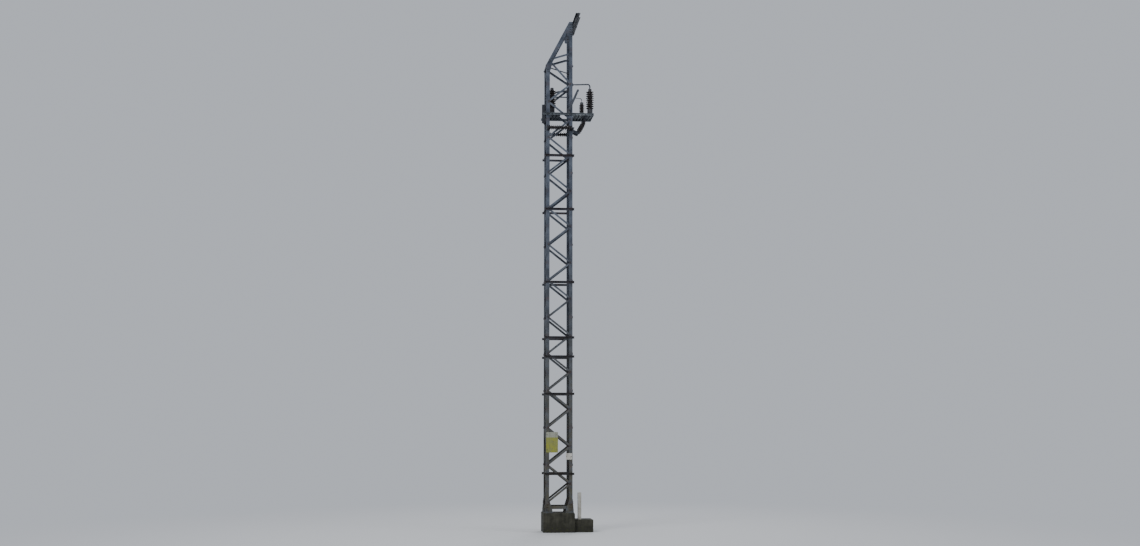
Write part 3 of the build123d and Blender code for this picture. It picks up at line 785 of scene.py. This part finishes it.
# %% Spots for fasteners
class Spots:
    """Places for fasteners: where each stands, the way it looks and its size beside a 16 mm bolt."""

    def __init__(self):
        self.places, self.ways, self.sizes = [], [], []

    def add(self, place, way, size=1.0):
        self.places.append(Vector(place))
        self.ways.append(Vector(way))
        self.sizes.append(size)

    def seed(self, name):
        """A mesh of bare points that carry what the bolt tree reads."""
        mesh = bpy.data.meshes.new(name)
        mesh.from_pydata(self.places, [], [])
        facing = mesh.attributes.new("facing", "FLOAT_VECTOR", "POINT")
        facing.data.foreach_set("vector", [c for way in self.ways for c in way])
        size = mesh.attributes.new("size", "FLOAT", "POINT")
        size.data.foreach_set("value", self.sizes)
        return mesh


def fasten(name, spots, height, thread, seed):
    """Grows one kind of fastener on its spots, as one piece."""
    inputs = {"Across": ACROSS, "Height": height, "Washer": WASHER, "Thread": thread, "Seed": seed}
    mesh = grow(name, bolts, {**inputs, "Material": bolt_zinc}, spots.seed(name + "_seed"))
    piece(name, mesh)
    print(name, "count", len(spots.places), "faces", len(mesh.polygons))


# %% [markdown]
# ## Where the fasteners stand
# Each side of the mast is treated as a drawing board: x to the right, z up, and a depth that is 0 on
# the outside of the legs. Setting bolts out in space, side by side, would repeat every sum four times.
# The lacing bolts sit on the bars, just inboard of each joint. Where a plate, a tie or a collar covers
# a joint, the head stands on the cover, and where the edge of a cover crosses a head there is none.

# %% Side boards
BOARDS = {
    "near": (Vector((1, 0, 0)), Vector((0, -1, 0))),
    "right": (Vector((0, 1, 0)), Vector((1, 0, 0))),
    "far": (Vector((-1, 0, 0)), Vector((0, 1, 0))),
    "left": (Vector((0, -1, 0)), Vector((-1, 0, 0))),
}
LEG_WALL = 0.009
BEHIND_BAR = LEG_WALL + 0.005


def on_side(side, x, z, depth):
    """A point on one side's board and the way that board looks."""
    along, out = BOARDS[side]
    return out * (HALF - depth) + along * x + Vector((0, 0, z)), out


heads, nuts = Spots(), Spots()


def pair(side, x, z, cover=0.0, inside=LEG_WALL, size=1.0):
    """A head on the outside of a side, on a cover of some thickness, and its nut on the inside."""
    place, out = on_side(side, x, z, -cover)
    heads.add(place, out, size)
    place, out = on_side(side, x, z, inside)
    nuts.add(place, -out, size)


print("boards", *BOARDS)

# %% Covers over the joints
PLATE = 0.008
JOINT_PLATE = (KNEE - 0.23, KNEE + 0.17)
COLLAR = 0.006
COLLAR_HEIGHT = 0.06
TIE = 0.007
TIE_HEIGHT = 0.07
RAIL_HALF = 0.03
ANCHOR_RAILS = (SHELF - 0.15, SHELF + 0.23)
LINK_END = (SHELF + 0.7552, SHELF + 0.8052)
HEAD_CLEAR = 0.016
SEAT_LOW, SEAT_HIGH = 0.012, 0.013

# A cover is its left and right edges on the board, its low and high ones, and its thickness.
# A left edge of -1 or a right edge of 1 lies past the corner, so the cover takes in the whole leg.
collars = sorted(n for n in frame["nodes"] if n.startswith("collar_"))
COVERS = {side: [(-1, 1, FOOT, face("foot_gussets", "+Z"), PLATE)] for side in BOARDS}
for name in collars:
    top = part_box(name)[1][2]
    for side in ("near", "far"):
        COVERS[side].append((-1, 1, top - COLLAR_HEIGHT, top - COLLAR, COLLAR))
COVERS["near"] += [(-1, 0, *JOINT_PLATE, PLATE)]
COVERS["far"] += [(0, 1, *JOINT_PLATE, PLATE), (-1, 0, *LINK_END, PLATE)]
for side in ("right", "left"):
    COVERS[side] += [(-1, 1, KNEE - TIE_HEIGHT, KNEE, TIE)]
COVERS["left"] += [(-1, 1, z - RAIL_HALF, z + RAIL_HALF, PLATE) for z in ANCHOR_RAILS]


def cover_at(side, x, z):
    """Thickness of what covers a joint, or None where a cover's edge crosses the bolt."""
    for left, right, low, high, thick in COVERS[side]:
        if left <= x <= right and low - HEAD_CLEAR < z < high + HEAD_CLEAR:
            return thick if low + SEAT_LOW < z < high - SEAT_HIGH else None
    return 0.0


print("covers", {side: len(covers) for side, covers in COVERS.items()})

# %% Lacing bolts
GAUGE = HALF - LEG / 2
BOLT_INSET = 0.024


def zigzag(first, bars):
    """The two joints of every bar, from the foot up, starting on the left with -1."""
    joints = [(first * (-1) ** k * GAUGE, FIRST_JOINT + k * JOINT_RISE) for k in range(bars + 1)]
    return list(zip(joints, joints[1:]))


# On the near and far sides the top bar leaves the zigzag, to meet the raked head.
near_bars, far_bars = zigzag(-1, BAYS), zigzag(1, BAYS)
near_bars[-1] = (near_bars[-1][0], (0.085 - HALF, KNEE + 0.084))
far_bars[-1] = ((-GAUGE, KNEE - 0.396), (GAUGE, KNEE + 0.004))
LACING = {"near": near_bars, "far": far_bars, "right": zigzag(-1, BAYS + 2), "left": zigzag(-1, BAYS)}
bar_ends = 0
for side, bars in LACING.items():
    for start, end in bars:
        for here, there in ((start, end), (end, start)):
            run = Vector((there[0] - here[0], there[1] - here[1])).normalized() * BOLT_INSET
            x, z = here[0] + run.x, here[1] + run.y
            cover = cover_at(side, x, z)
            bar_ends += 1
            if cover is not None:
                pair(side, x, z, cover, inside=BEHIND_BAR)
print("bar ends", bar_ends, "bolted in sight", len(heads.places))

# %% [markdown]
# ## Bolts of the head, the feet and the gear
# The rest of the fasteners follow the plates: rows up the gussets, along the joint plates and down the
# rakes, four round each upright insulator's foot, and pairs where the channels cross the legs. They
# could be scattered by eye, but a row that is out of line shows at once, so each follows a line of its
# plate. Rows on neighbouring sides of a leg are staggered, or their nuts would meet in the corner.

# %% Bolts of the feet
GUSSET_ROWS = (0.055, 0.125, 0.195)
GUSSET_LINES = (0.323, 0.286)
STAGGER = 0.033
RING_LOW, RING_HIGH = face("base_ring", "-Z"), face("base_ring", "+Z")
RING_WALL = 0.008
for side in BOARDS:
    shift = 0.0 if side in ("near", "far") else STAGGER
    for way in (-1, 1):
        for z in (FOOT + row + shift for row in GUSSET_ROWS):
            deep = LEG_WALL + RING_WALL if RING_LOW < z < RING_HIGH else LEG_WALL
            for x in GUSSET_LINES:
                pair(side, way * x, z, cover=PLATE, inside=deep)
print("heads up to the feet", len(heads.places))

# %% Bolts of the knee and the apex
RAKE_RUN = (2 * HALF - LEG) / (APEX - KNEE)
LEG_LINES = (HALF - 0.025, HALF - 0.065)
KNEE_ROWS = (KNEE - 0.2, KNEE - 0.145, KNEE - 0.09)
KNEE_JOINTS = [FIRST_JOINT + k * JOINT_RISE for k in (BAYS - 1, BAYS)]
JOINT_CLEAR = 0.05
RAKE_FOOT = ((0.05, 0.03), (0.11, 0.03), (0.08, 0.072), (0.14, 0.072))
RAKE_TOP = ((0.09, 0.03), (0.14, 0.03), (0.165, 0.07))
APEX_ROWS = (0.07, 0.14, 0.21, 0.28, 0.35)
BAR_LOW_X, BAR_LOW_Z = -0.19, KNEE + 0.149
BAR_HIGH_X, BAR_HIGH_Z = GAUGE - 0.022, KNEE + 0.296
TIE_LINE = 0.327
for side, way in (("near", 1), ("far", -1)):
    for x in LEG_LINES:
        for z in KNEE_ROWS:
            free = all(abs(z - joint) > JOINT_CLEAR for joint in KNEE_JOINTS)
            if free and cover_at(side, way * -x, z):
                pair(side, way * -x, z, cover=PLATE)
    for up, across in RAKE_FOOT:
        pair(side, way * (-HALF + up * RAKE_RUN + across), KNEE + up, cover=PLATE)
    for x in LEG_LINES:
        for down in APEX_ROWS:
            pair(side, way * x, APEX - down, cover=PLATE)
    for down, across in RAKE_TOP:
        x = HALF - LEG - down * RAKE_RUN + across
        pair(side, way * x, APEX - down, cover=PLATE, size=0.9)
    pair(side, way * BAR_LOW_X, BAR_LOW_Z, cover=PLATE, inside=BEHIND_BAR)
    pair(side, way * BAR_HIGH_X, BAR_HIGH_Z, inside=BEHIND_BAR)
for side in ("right", "left"):
    for way in (-1, 1):
        pair(side, way * TIE_LINE, KNEE - TIE_HEIGHT / 2, cover=TIE)
print("heads up to the apex", len(heads.places))

# %% Bolts of the shelf and its brackets
SHELF_WEB = 0.006
SHELF_MIDDLE = SHELF - 0.03
BRACKET = 0.01
BRACKET_LINE = 0.288
BRACKET_MIDDLE = SHELF - 0.42
BEARER_BOLTS = [-0.19, -0.0975, -0.005] + [0.42 + 0.093 * k for k in range(6)]
STRUT_RAIL = SHELF - 0.435
BOTH_LEGS = sorted([-x for x in LEG_LINES] + [*LEG_LINES])
for side in ("near", "far"):
    for x in BOTH_LEGS:
        pair(side, x, SHELF_MIDDLE, cover=SHELF_WEB)
    for x in (-BRACKET_LINE, BRACKET_LINE):
        for z in (BRACKET_MIDDLE - 0.045, BRACKET_MIDDLE + 0.045):
            pair(side, x, z, cover=BRACKET)
for x in BEARER_BOLTS:
    for way in (-1, 1):
        heads.add((x, way * (HALF + SHELF_WEB), SHELF - 0.032), (0, way, 0), size=0.7)
for y in BOTH_LEGS:
    pair("right", y, STRUT_RAIL, cover=SHELF_WEB)
print("heads up to the shelf", len(heads.places))

# %% Bolts of the rails, the links and the busbar
POST_WEB = 0.007
POST_BOLTS = 0.02
LINK_BOLTS = ((-0.322, 0.782), (0.322, 0.688), (-0.322, 0.6), (0.322, 0.6))
BUSBAR_PAD = (-0.305, SHELF + 0.7862)
PAD_WALL = 0.01
PAD_BOLTS = 0.026
for z in ANCHOR_RAILS:
    for x in (-TIE_LINE, TIE_LINE):
        pair("left", x, z, cover=PLATE)
    for x in (-POST_BOLTS, POST_BOLTS):
        pair("left", x, z, cover=PLATE + POST_WEB, inside=0.0)
for x, up in LINK_BOLTS:
    pair("far", x, SHELF + up, cover=PLATE)
for across in (-PAD_BOLTS, PAD_BOLTS):
    for up in (-PAD_BOLTS, PAD_BOLTS):
        pair("right", BUSBAR_PAD[0] + across, BUSBAR_PAD[1] + up, cover=PAD_WALL, size=0.6)
print("heads up to the busbar", len(heads.places))

# %% Bolts of the insulator feet and the pins
FOOT_CIRCLE = 0.058
STRUT_Y = 0.11
STRUT_PINS = ((0.515, SHELF - 0.495), (0.715, SHELF - 0.145))
PIN_HALF = 0.014
ARM_PIN = (0.245, -0.3875, SHELF + 0.062)
for name in ("left_insulator", "right_insulator", "small_insulator"):
    low, high = ends_of_box(name)
    for k in range(4):
        turn = math.radians(45 + 90 * k)
        x = (low.x + high.x) / 2 + FOOT_CIRCLE * math.cos(turn)
        y = (low.y + high.y) / 2 + FOOT_CIRCLE * math.sin(turn)
        heads.add((x, y, low.z), (0, 0, 1), size=0.6)
for x, z in STRUT_PINS:
    for y in (-STRUT_Y, STRUT_Y):
        heads.add((x, y - PIN_HALF, z), (0, -1, 0), size=0.9)
        nuts.add((x, y + PIN_HALF, z), (0, 1, 0), size=0.9)
heads.add(ARM_PIN, (0, -1, 0), size=1.1)
print("heads up to the pins", len(heads.places))

# %% Bolts of the beam
BEAM_LOW = face("beam_inner_channel", "-Z")
BEAM_MIDDLE = BEAM_LOW + 0.06
BEAM_BOLTS = (-1.165, -1.06, -0.72, -0.36, 0.0, 0.36, 0.465)
BEAM_WEB = 0.007
OUTER_WEB = face("beam_outer_channel", "-X") + BEAM_WEB
INNER_WEB = face("beam_inner_channel", "+X") - BEAM_WEB
CLEAT_WALL = 0.007
CLEAT_ROW = BEAM_LOW - 0.045
CLEAT_BOLTS = (0.38, 0.445)
for y in BEAM_BOLTS:
    heads.add((OUTER_WEB, y, BEAM_MIDDLE), (1, 0, 0), size=1.1)
    nuts.add((INNER_WEB, y, BEAM_MIDDLE), (-1, 0, 0), size=1.1)
for way in (-1, 1):
    for y in LEG_LINES:
        pair("right", way * y, CLEAT_ROW, cover=CLEAT_WALL)
    for x in CLEAT_BOLTS:
        heads.add((x, way * GAUGE, BEAM_LOW - CLEAT_WALL), (0, 0, -1), size=0.9)
        nuts.add((x, way * GAUGE, BEAM_LOW + BEAM_WEB), (0, 0, 1), size=0.9)
print("heads", len(heads.places), "nuts", len(nuts.places))

# %% Growing the heads and the nuts
HEAD, NO_THREAD = 0.012, 0.0
NUT, NUT_THREAD = 0.014, 0.009
fasten("bolt_heads", heads, HEAD, NO_THREAD, seed=11)
fasten("bolt_nuts", nuts, NUT, NUT_THREAD, seed=23)

# %% [markdown]
# ## Collar nuts and anchor bolts
# The collars' rods come with the frame, so they only lack nuts. The anchor bolts stand in the bores of
# the foot plates: each has a big nut, and a good length of thread above it for levelling the mast.
# They could be modelled one by one, but the tree that made the bolts only needs other sizes.

# %% Collar nuts and anchors
ROD_OFFSET = 0.024
ANCHOR_OUTER, ANCHOR_INNER = HALF - 0.06, HALF - 0.14
COLLAR_NUT = 0.013
ANCHOR_NUT, ANCHOR_THREAD, ANCHOR_SIZE = 0.015, 0.032, 1.55
collar_nuts, anchors = Spots(), Spots()
for name in collars:
    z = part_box(name)[1][2] - COLLAR_HEIGHT / 2
    for x in (-HALF - ROD_OFFSET, HALF + ROD_OFFSET):
        for way in (-1, 1):
            collar_nuts.add((x, way * (HALF + COLLAR), z), (0, way, 0))
for x, y in ((ANCHOR_OUTER, ANCHOR_INNER), (ANCHOR_INNER, ANCHOR_OUTER)):
    for across in (-1, 1):
        for way in (-1, 1):
            anchors.add((across * x, way * y, FOOT), (0, 0, 1), size=ANCHOR_SIZE)
fasten("collar_nuts", collar_nuts, COLLAR_NUT, NO_THREAD, seed=31)
fasten("anchor_bolts", anchors, ANCHOR_NUT, ANCHOR_THREAD, seed=43)

# %% [markdown]
# ## Welds
# A weld is a line with an uneven thickness. It could be a smooth fillet, but nobody would take that
# for a weld. So seed edges say where the beads run, the tree cuts them into short steps and swells
# each step by seeded noise, and a round profile is swept along. Half of the bead is inside the steel,
# as it is in life, so no seam shows.

# %% The weld tree
BEAD_CORNERS = 8
LUMPS = 90.0


def weld_tree():
    g = Grower("welds", Bead=("Float", 0.006), Step=("Float", 0.007), Seed=("Float", 2.0))
    line = g.node("GeometryNodeMeshToCurve", Mesh=g.start.outputs["Geometry"]).outputs[0]
    steps = g.node(
        "GeometryNodeResampleCurve", {"mode": "LENGTH"}, Curve=line, Length=g.given("Step")
    )
    lumps = g.node(
        "ShaderNodeTexNoise", {"noise_dimensions": "4D"}, W=g.given("Seed"), Scale=LUMPS, Detail=1.0
    )
    radius = g.given("Bead") * (Term(g.tree, lumps.outputs[0]) * 0.9 + 0.55)
    return g.close(g.swept(steps.outputs[0], radius, BEAD_CORNERS))


# %% Weld lines
PROUD = 0.001
GUSSET_FOOT = FOOT + 0.002
GUSSET_ENDS = (0.19, 0.37)
BRACKET_EDGES = (0.318, 0.332)
BRACKET_ENDS = (BRACKET_MIDDLE - 0.06, BRACKET_MIDDLE + 0.06)
LUG_HALF = 0.015
LUG_ENDS = (-0.035, 0.035)
LOW_LUG_X, HIGH_LUG_X = 0.401, 0.715
HIGH_LUG_TOP = SHELF - 0.101
seams = []
for side in BOARDS:
    for way in (-1, 1):
        ends = [on_side(side, way * x, GUSSET_FOOT, -PLATE - PROUD)[0] for x in GUSSET_ENDS]
        seams.append(ends)
for side in ("near", "far"):
    for way in (-1, 1):
        for x in BRACKET_EDGES:
            seams.append([on_side(side, way * x, z, -BRACKET - PROUD)[0] for z in BRACKET_ENDS])
for y in (-STRUT_Y, STRUT_Y):
    for edge in (y - LUG_HALF, y + LUG_HALF):
        seams.append([Vector((LOW_LUG_X, edge, STRUT_RAIL + z)) for z in LUG_ENDS])
        seams.append([Vector((HIGH_LUG_X + x, edge, HIGH_LUG_TOP)) for x in LUG_ENDS])
seed = bpy.data.meshes.new("weld_seed")
points = [end for seam in seams for end in seam]
seed.from_pydata(points, [(2 * k, 2 * k + 1) for k in range(len(seams))], [])
inputs = {"Bead": 0.005, "Step": 0.006, "Seed": 2.0, "Material": bolt_zinc}
welds = grow("welds", weld_tree(), inputs, seed)
piece("welds", welds)
print("welds", len(seams), "faces", len(welds.polygons))

# %% [markdown]
# ## Plates on the near side
# The two plates are cut from thin sheet, with round corners and a small bevel where the shears went
# through. A scaled cube could stand for each, but it has no such edges to catch the light. So each
# plate is built from its outline, thickened and bevelled. Both stand off the legs, on flat straps
# that are made the same way.

# %% Sheet plates and their straps
CORNER_STEPS = 4
STRAP_THICK = 0.004
STRAP_HEIGHT = 0.03
STRAP_CORNER = 0.003
SHEET_THICK = 0.003


def sheet(name, x, z, width, height, back, thick, corner, material):
    """A plate on the near side, centred on x and z, with its back that many metres off the legs."""
    bm = bmesh.new()
    front = -HALF - back - thick
    outline = []
    for sx, sz, first in ((1, 1, 0), (-1, 1, 90), (-1, -1, 180), (1, -1, 270)):
        for k in range(CORNER_STEPS + 1):
            turn = math.radians(first + 90 / CORNER_STEPS * k)
            px = x + sx * (width / 2 - corner) + corner * math.cos(turn)
            pz = z + sz * (height / 2 - corner) + corner * math.sin(turn)
            outline.append(bm.verts.new((px, front, pz)))
    grown = bmesh.ops.extrude_face_region(bm, geom=[bm.faces.new(outline)])["geom"]
    for item in grown:
        if isinstance(item, bmesh.types.BMVert):
            item.co.y += thick
    rim = [e for e in bm.edges if all(abs(v.co.y - front) < 1e-6 for v in e.verts)]
    bmesh.ops.bevel(bm, geom=rim, offset=thick * 0.25, segments=2, affect="EDGES")
    bmesh.ops.recalc_face_normals(bm, faces=bm.faces)
    mesh = bpy.data.meshes.new(name)
    bm.to_mesh(mesh)
    bm.free()
    piece(name, mesh, material)
    print(name, "size", width, "by", height, "faces", len(mesh.polygons))


# %% The plates, at the photograph's scale
YELLOW_X, WHITE_Z = -0.187, 1.95
UPPER_STRAP, LOWER_STRAP = 2.51, 2.12
for name, x, z, width, height, corner, paint in (
    ("yellow_sheet", YELLOW_X, 2.315, 0.31, 0.53, 0.018, yellow_plate),
    ("white_sheet", 0.258, WHITE_Z, 0.165, 0.165, 0.01, white_plate),
):
    sheet(name, x, z, width, height, STRAP_THICK, SHEET_THICK, corner, material=paint)
for name, x, z, width in (
    ("strap_upper", YELLOW_X, UPPER_STRAP, 0.3),
    ("strap_lower", YELLOW_X, LOWER_STRAP, 0.3),
    ("strap_white", 0.26, WHITE_Z, 0.158),
):
    sheet(name, x, z, width, STRAP_HEIGHT, 0.0, STRAP_THICK, STRAP_CORNER, material=bolt_zinc)

# %% Bolts of the plates
YELLOW_BOLTS, WHITE_BOLTS = (-0.315, -0.06), (0.195, 0.321)
PLATE_FRONT = -HALF - STRAP_THICK - SHEET_THICK
plate_bolts = Spots()
for z, places in ((UPPER_STRAP, YELLOW_BOLTS), (LOWER_STRAP, YELLOW_BOLTS), (WHITE_Z, WHITE_BOLTS)):
    for x in places:
        plate_bolts.add((x, PLATE_FRONT, z), (0, -1, 0), size=0.55)
fasten("plate_bolts", plate_bolts, HEAD, NO_THREAD, seed=57)

# %% [markdown]
# ## Chipped concrete
# Cast edges break off in flakes. A bevel would round them evenly, which looks like plastic. So the
# block, the ledge and the pale post are rebuilt as closed boxes with a grid on each face that is fine
# near the edges. Every point close to an edge is pushed in by a chip whose depth comes from noise, so
# the edge wanders, and the broad faces are left slightly wavy, as boards leave them. Nothing is
# pushed outwards, so the boxes stay within the sizes they stand in for. Broad faces are shaded smooth
# and chips flat, which keeps their edges crisp.

# %% Box grids
NEAR_EDGE = (0.0, 0.003, 0.007, 0.012, 0.018, 0.025, 0.034, 0.045)
GRID_STEP = 0.032


def marks(low, high):
    """Places from low to high that crowd together at both ends."""
    close = [d for d in NEAR_EDGE if d < (high - low) * 0.35]
    inner = (high - low) - 2 * close[-1]
    count = max(1, round(inner / GRID_STEP))
    middle = [low + close[-1] + inner * k / count for k in range(1, count)]
    return [low + d for d in close] + middle + [high - d for d in reversed(close)]


def box_grid(lines):
    """Corners and outward faces of a closed box with a grid on every side."""
    number, corners, faces = {}, [], []

    def corner(place):
        if place not in number:
            number[place] = len(corners)
            corners.append(Vector([lines[axis][place[axis]] for axis in range(3)]))
        return number[place]

    for axis in range(3):
        u, v = (axis + 1) % 3, (axis + 2) % 3
        for level in (0, len(lines[axis]) - 1):
            for i in range(len(lines[u]) - 1):
                for j in range(len(lines[v]) - 1):
                    ring = []
                    for a, b in ((i, j), (i + 1, j), (i + 1, j + 1), (i, j + 1)):
                        place = [0, 0, 0]
                        place[axis], place[u], place[v] = level, a, b
                        ring.append(corner(tuple(place)))
                    faces.append(ring if level else ring[::-1])
    return corners, faces


# %% Chips
BOTTOM, TOP, FIELD = (2, -1), (2, 1), (0, -1)
BROAD_CHIPS, FINE_CHIPS, WAVES = 9.0, 31.0, 4.0
WAVE_FADE = 0.05
BROAD_FACE = 0.985


def chipped(node, slot, material, edge, chip, most, wave, joined, flat=()):
    """Stands a weathered box in for a node.

    Every edge is broken by at least edge metres, chips deepen that up to most, and wave is the
    hollow of a broad face. Joined sides touch another piece, and flat ones carry something.
    """
    low, high = ends_of_box(node)
    corners, faces = box_grid([marks(low[axis], high[axis]) for axis in range(3)])
    for place in corners:
        gaps = []
        for axis in range(3):
            for way, gap in ((-1, place[axis] - low[axis]), (1, high[axis] - place[axis])):
                gaps.append((gap, (axis, way)))
        (first, one), (second, two) = sorted(gaps)[:2]
        rough = noise.noise(place * BROAD_CHIPS) * 0.6 + noise.noise(place * FINE_CHIPS) * 0.4
        size = min(edge + chip * max(0.0, rough - 0.05), most)
        push = Vector()
        if first + second < size and one not in joined and two not in joined:
            for axis, way in (one, two):
                push[axis] -= way * (size - first - second) / 2
        elif first < 1e-6 and one not in joined and one not in flat:
            hollow = 0.5 + 0.5 * noise.noise(place * WAVES)
            push[one[0]] -= one[1] * wave * hollow * min(1.0, second / WAVE_FADE)
        place += push
    mesh = bpy.data.meshes.new(node + "_cast")
    mesh.from_pydata(corners, [], faces)
    broad = [max(abs(c) for c in polygon.normal) > BROAD_FACE for polygon in mesh.polygons]
    mesh.polygons.foreach_set("use_smooth", broad)
    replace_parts(piece(node + "_cast", mesh, material), node)
    print(node, "faces", len(mesh.polygons))


# %% The block, the ledge and the pale post
block_chips = {"slot": "concrete", "material": block_concrete, "edge": 0.014, "wave": 0.003}
post_chips = {"slot": "marker_concrete", "material": marker_concrete, "edge": 0.008, "wave": 0.0007}
chipped("foundation_block", **block_chips, chip=0.06, most=0.025, joined=[BOTTOM], flat=[TOP])
chipped("foundation_ledge", **block_chips, chip=0.08, most=0.05, joined=[BOTTOM, FIELD], flat=[TOP])
chipped("marker_post", **post_chips, chip=0.02, most=0.018, joined=[BOTTOM])

# %% [markdown]
# ## The stage
# A pale floor and soft light show a dark lattice best; one hard sun would double every bar with its
# shadow. The key light is a big disc to the left, the fill is lower and weaker on the right, a third
# disc edges the mast from behind, and the world gives an even grey. Where the floor meets that grey
# there would be a hard line behind the mast, so far out the floor glows in the very grey of the
# world, and the line is gone.

# %% The floor and the world
FLOOR_HALF = 200.0
GLOW_FADES = (2.5, 17.0)
WORLD_GREY = rgb(204, 209, 218)
WORLD_STRENGTH = 0.85


def floor():
    mesh = bpy.data.meshes.new("floor")
    turns = ((-1, -1), (1, -1), (1, 1), (-1, 1))
    corners = [(x * FLOOR_HALF, y * FLOOR_HALF, 0) for x, y in turns]
    mesh.from_pydata(corners, [], [(0, 1, 2, 3)])
    made = bpy.data.objects.new("floor", mesh)
    bpy.context.scene.collection.objects.link(made)
    pale = Finish("floor_pale", Roughness=0.9, Base_Color=rgb(206, 207, 208))
    across, along = pale.axis("X"), pale.axis("Y")
    far = ((across * across + along * along) ** 0.5).step(*GLOW_FADES)
    glow = pale.node("ShaderNodeEmission", Color=WORLD_GREY, Strength=WORLD_STRENGTH)
    both = pale.node("ShaderNodeMixShader", Fac=far)
    pale.tree.links.new(pale.shader.outputs[0], both.inputs[1])
    pale.tree.links.new(glow.outputs[0], both.inputs[2])
    end = next(n for n in pale.tree.nodes if n.type == "OUTPUT_MATERIAL")
    pale.tree.links.new(both.outputs[0], end.inputs["Surface"])
    mesh.materials.append(pale.done())
    made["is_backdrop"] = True


def even_world():
    world = bpy.data.worlds.new("studio")
    world.use_nodes = True
    background = world.node_tree.nodes["Background"]
    background.inputs["Color"].default_value = WORLD_GREY
    background.inputs["Strength"].default_value = WORLD_STRENGTH
    bpy.context.scene.world = world


floor()
even_world()


# %% The lamps
def lamp(name, place, aim, size, power):
    data = bpy.data.lights.new(name, "AREA")
    data.shape = "DISK"
    data.size = size
    data.energy = power
    made = bpy.data.objects.new(name, data)
    made.location = place
    made.rotation_euler = (Vector(aim) - Vector(place)).to_track_quat("-Z", "Y").to_euler()
    bpy.context.scene.collection.objects.link(made)
    print("lamp", name, "watts", power)


lamp("key", (-16, -18, 20), aim=(0, 0, 7), size=12, power=4200)
lamp("fill", (18, -14, 9), aim=(0, 0, 7), size=12, power=1300)
lamp("back", (6, 20, 16), aim=(0, 0, 8), size=10, power=1800)

# %% [markdown]
# ## The camera
# In the photograph the mast stands about 36.5 m away, seen squarely on its near side but for a few
# degrees to the left, with the eye 2.6 m above the ground at its foot. The camera goes to that spot.
# It could be aimed and zoomed by hand, once for every change of size. Instead the eight corners of
# the mast's box are projected, the aim moves to their middle until it stands still, and the lens is
# chosen so that all of them fall inside the picture.

# %% Camera
VIEW_DISTANCE = 36.5
VIEW_SIDE = math.radians(5.45)
EYE_HEIGHT = 2.6
PICTURE = (1140, 546)
MARGIN = 1.04
AIM_ROUNDS = 6


def camera():
    low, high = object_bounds()
    spans = list(zip(low, high))
    corners = [Vector((x, y, z)) for x in spans[0] for y in spans[1] for z in spans[2]]
    away = (-math.sin(VIEW_SIDE) * VIEW_DISTANCE, -math.cos(VIEW_SIDE) * VIEW_DISTANCE)
    eye = Vector((*away, EYE_HEIGHT))
    aim = sum(corners, Vector()) / len(corners)
    for _ in range(AIM_ROUNDS):
        turn = (aim - eye).to_track_quat("-Z", "Y")
        seen = [turn.inverted() @ (c - eye) for c in corners]
        across = [p.x / -p.z for p in seen]
        up = [p.y / -p.z for p in seen]
        middle = Vector(((min(across) + max(across)) / 2, (min(up) + max(up)) / 2, -1.0))
        aim = eye + (turn @ middle) * (aim - eye).length
    tall = (max(up) - min(up)) / 2 * MARGIN
    wide = max((max(across) - min(across)) / 2 * MARGIN, tall * PICTURE[0] / PICTURE[1])
    data = bpy.data.cameras.new("eye")
    data.sensor_width = 36.0
    data.lens = data.sensor_width / 2 / wide
    data.clip_end = 500
    made = bpy.data.objects.new("eye", data)
    made.location = eye
    made.rotation_euler = (aim - eye).to_track_quat("-Z", "Y").to_euler()
    bpy.context.scene.collection.objects.link(made)
    bpy.context.scene.camera = made
    print("lens", round(data.lens, 1), "half height", round(tall, 4))


camera()
bpy.context.scene.view_settings.view_transform = "AgX"

# %% Sizes and finish
low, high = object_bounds()
print("visual", [round(c, 3) for c in (*low, *high)])
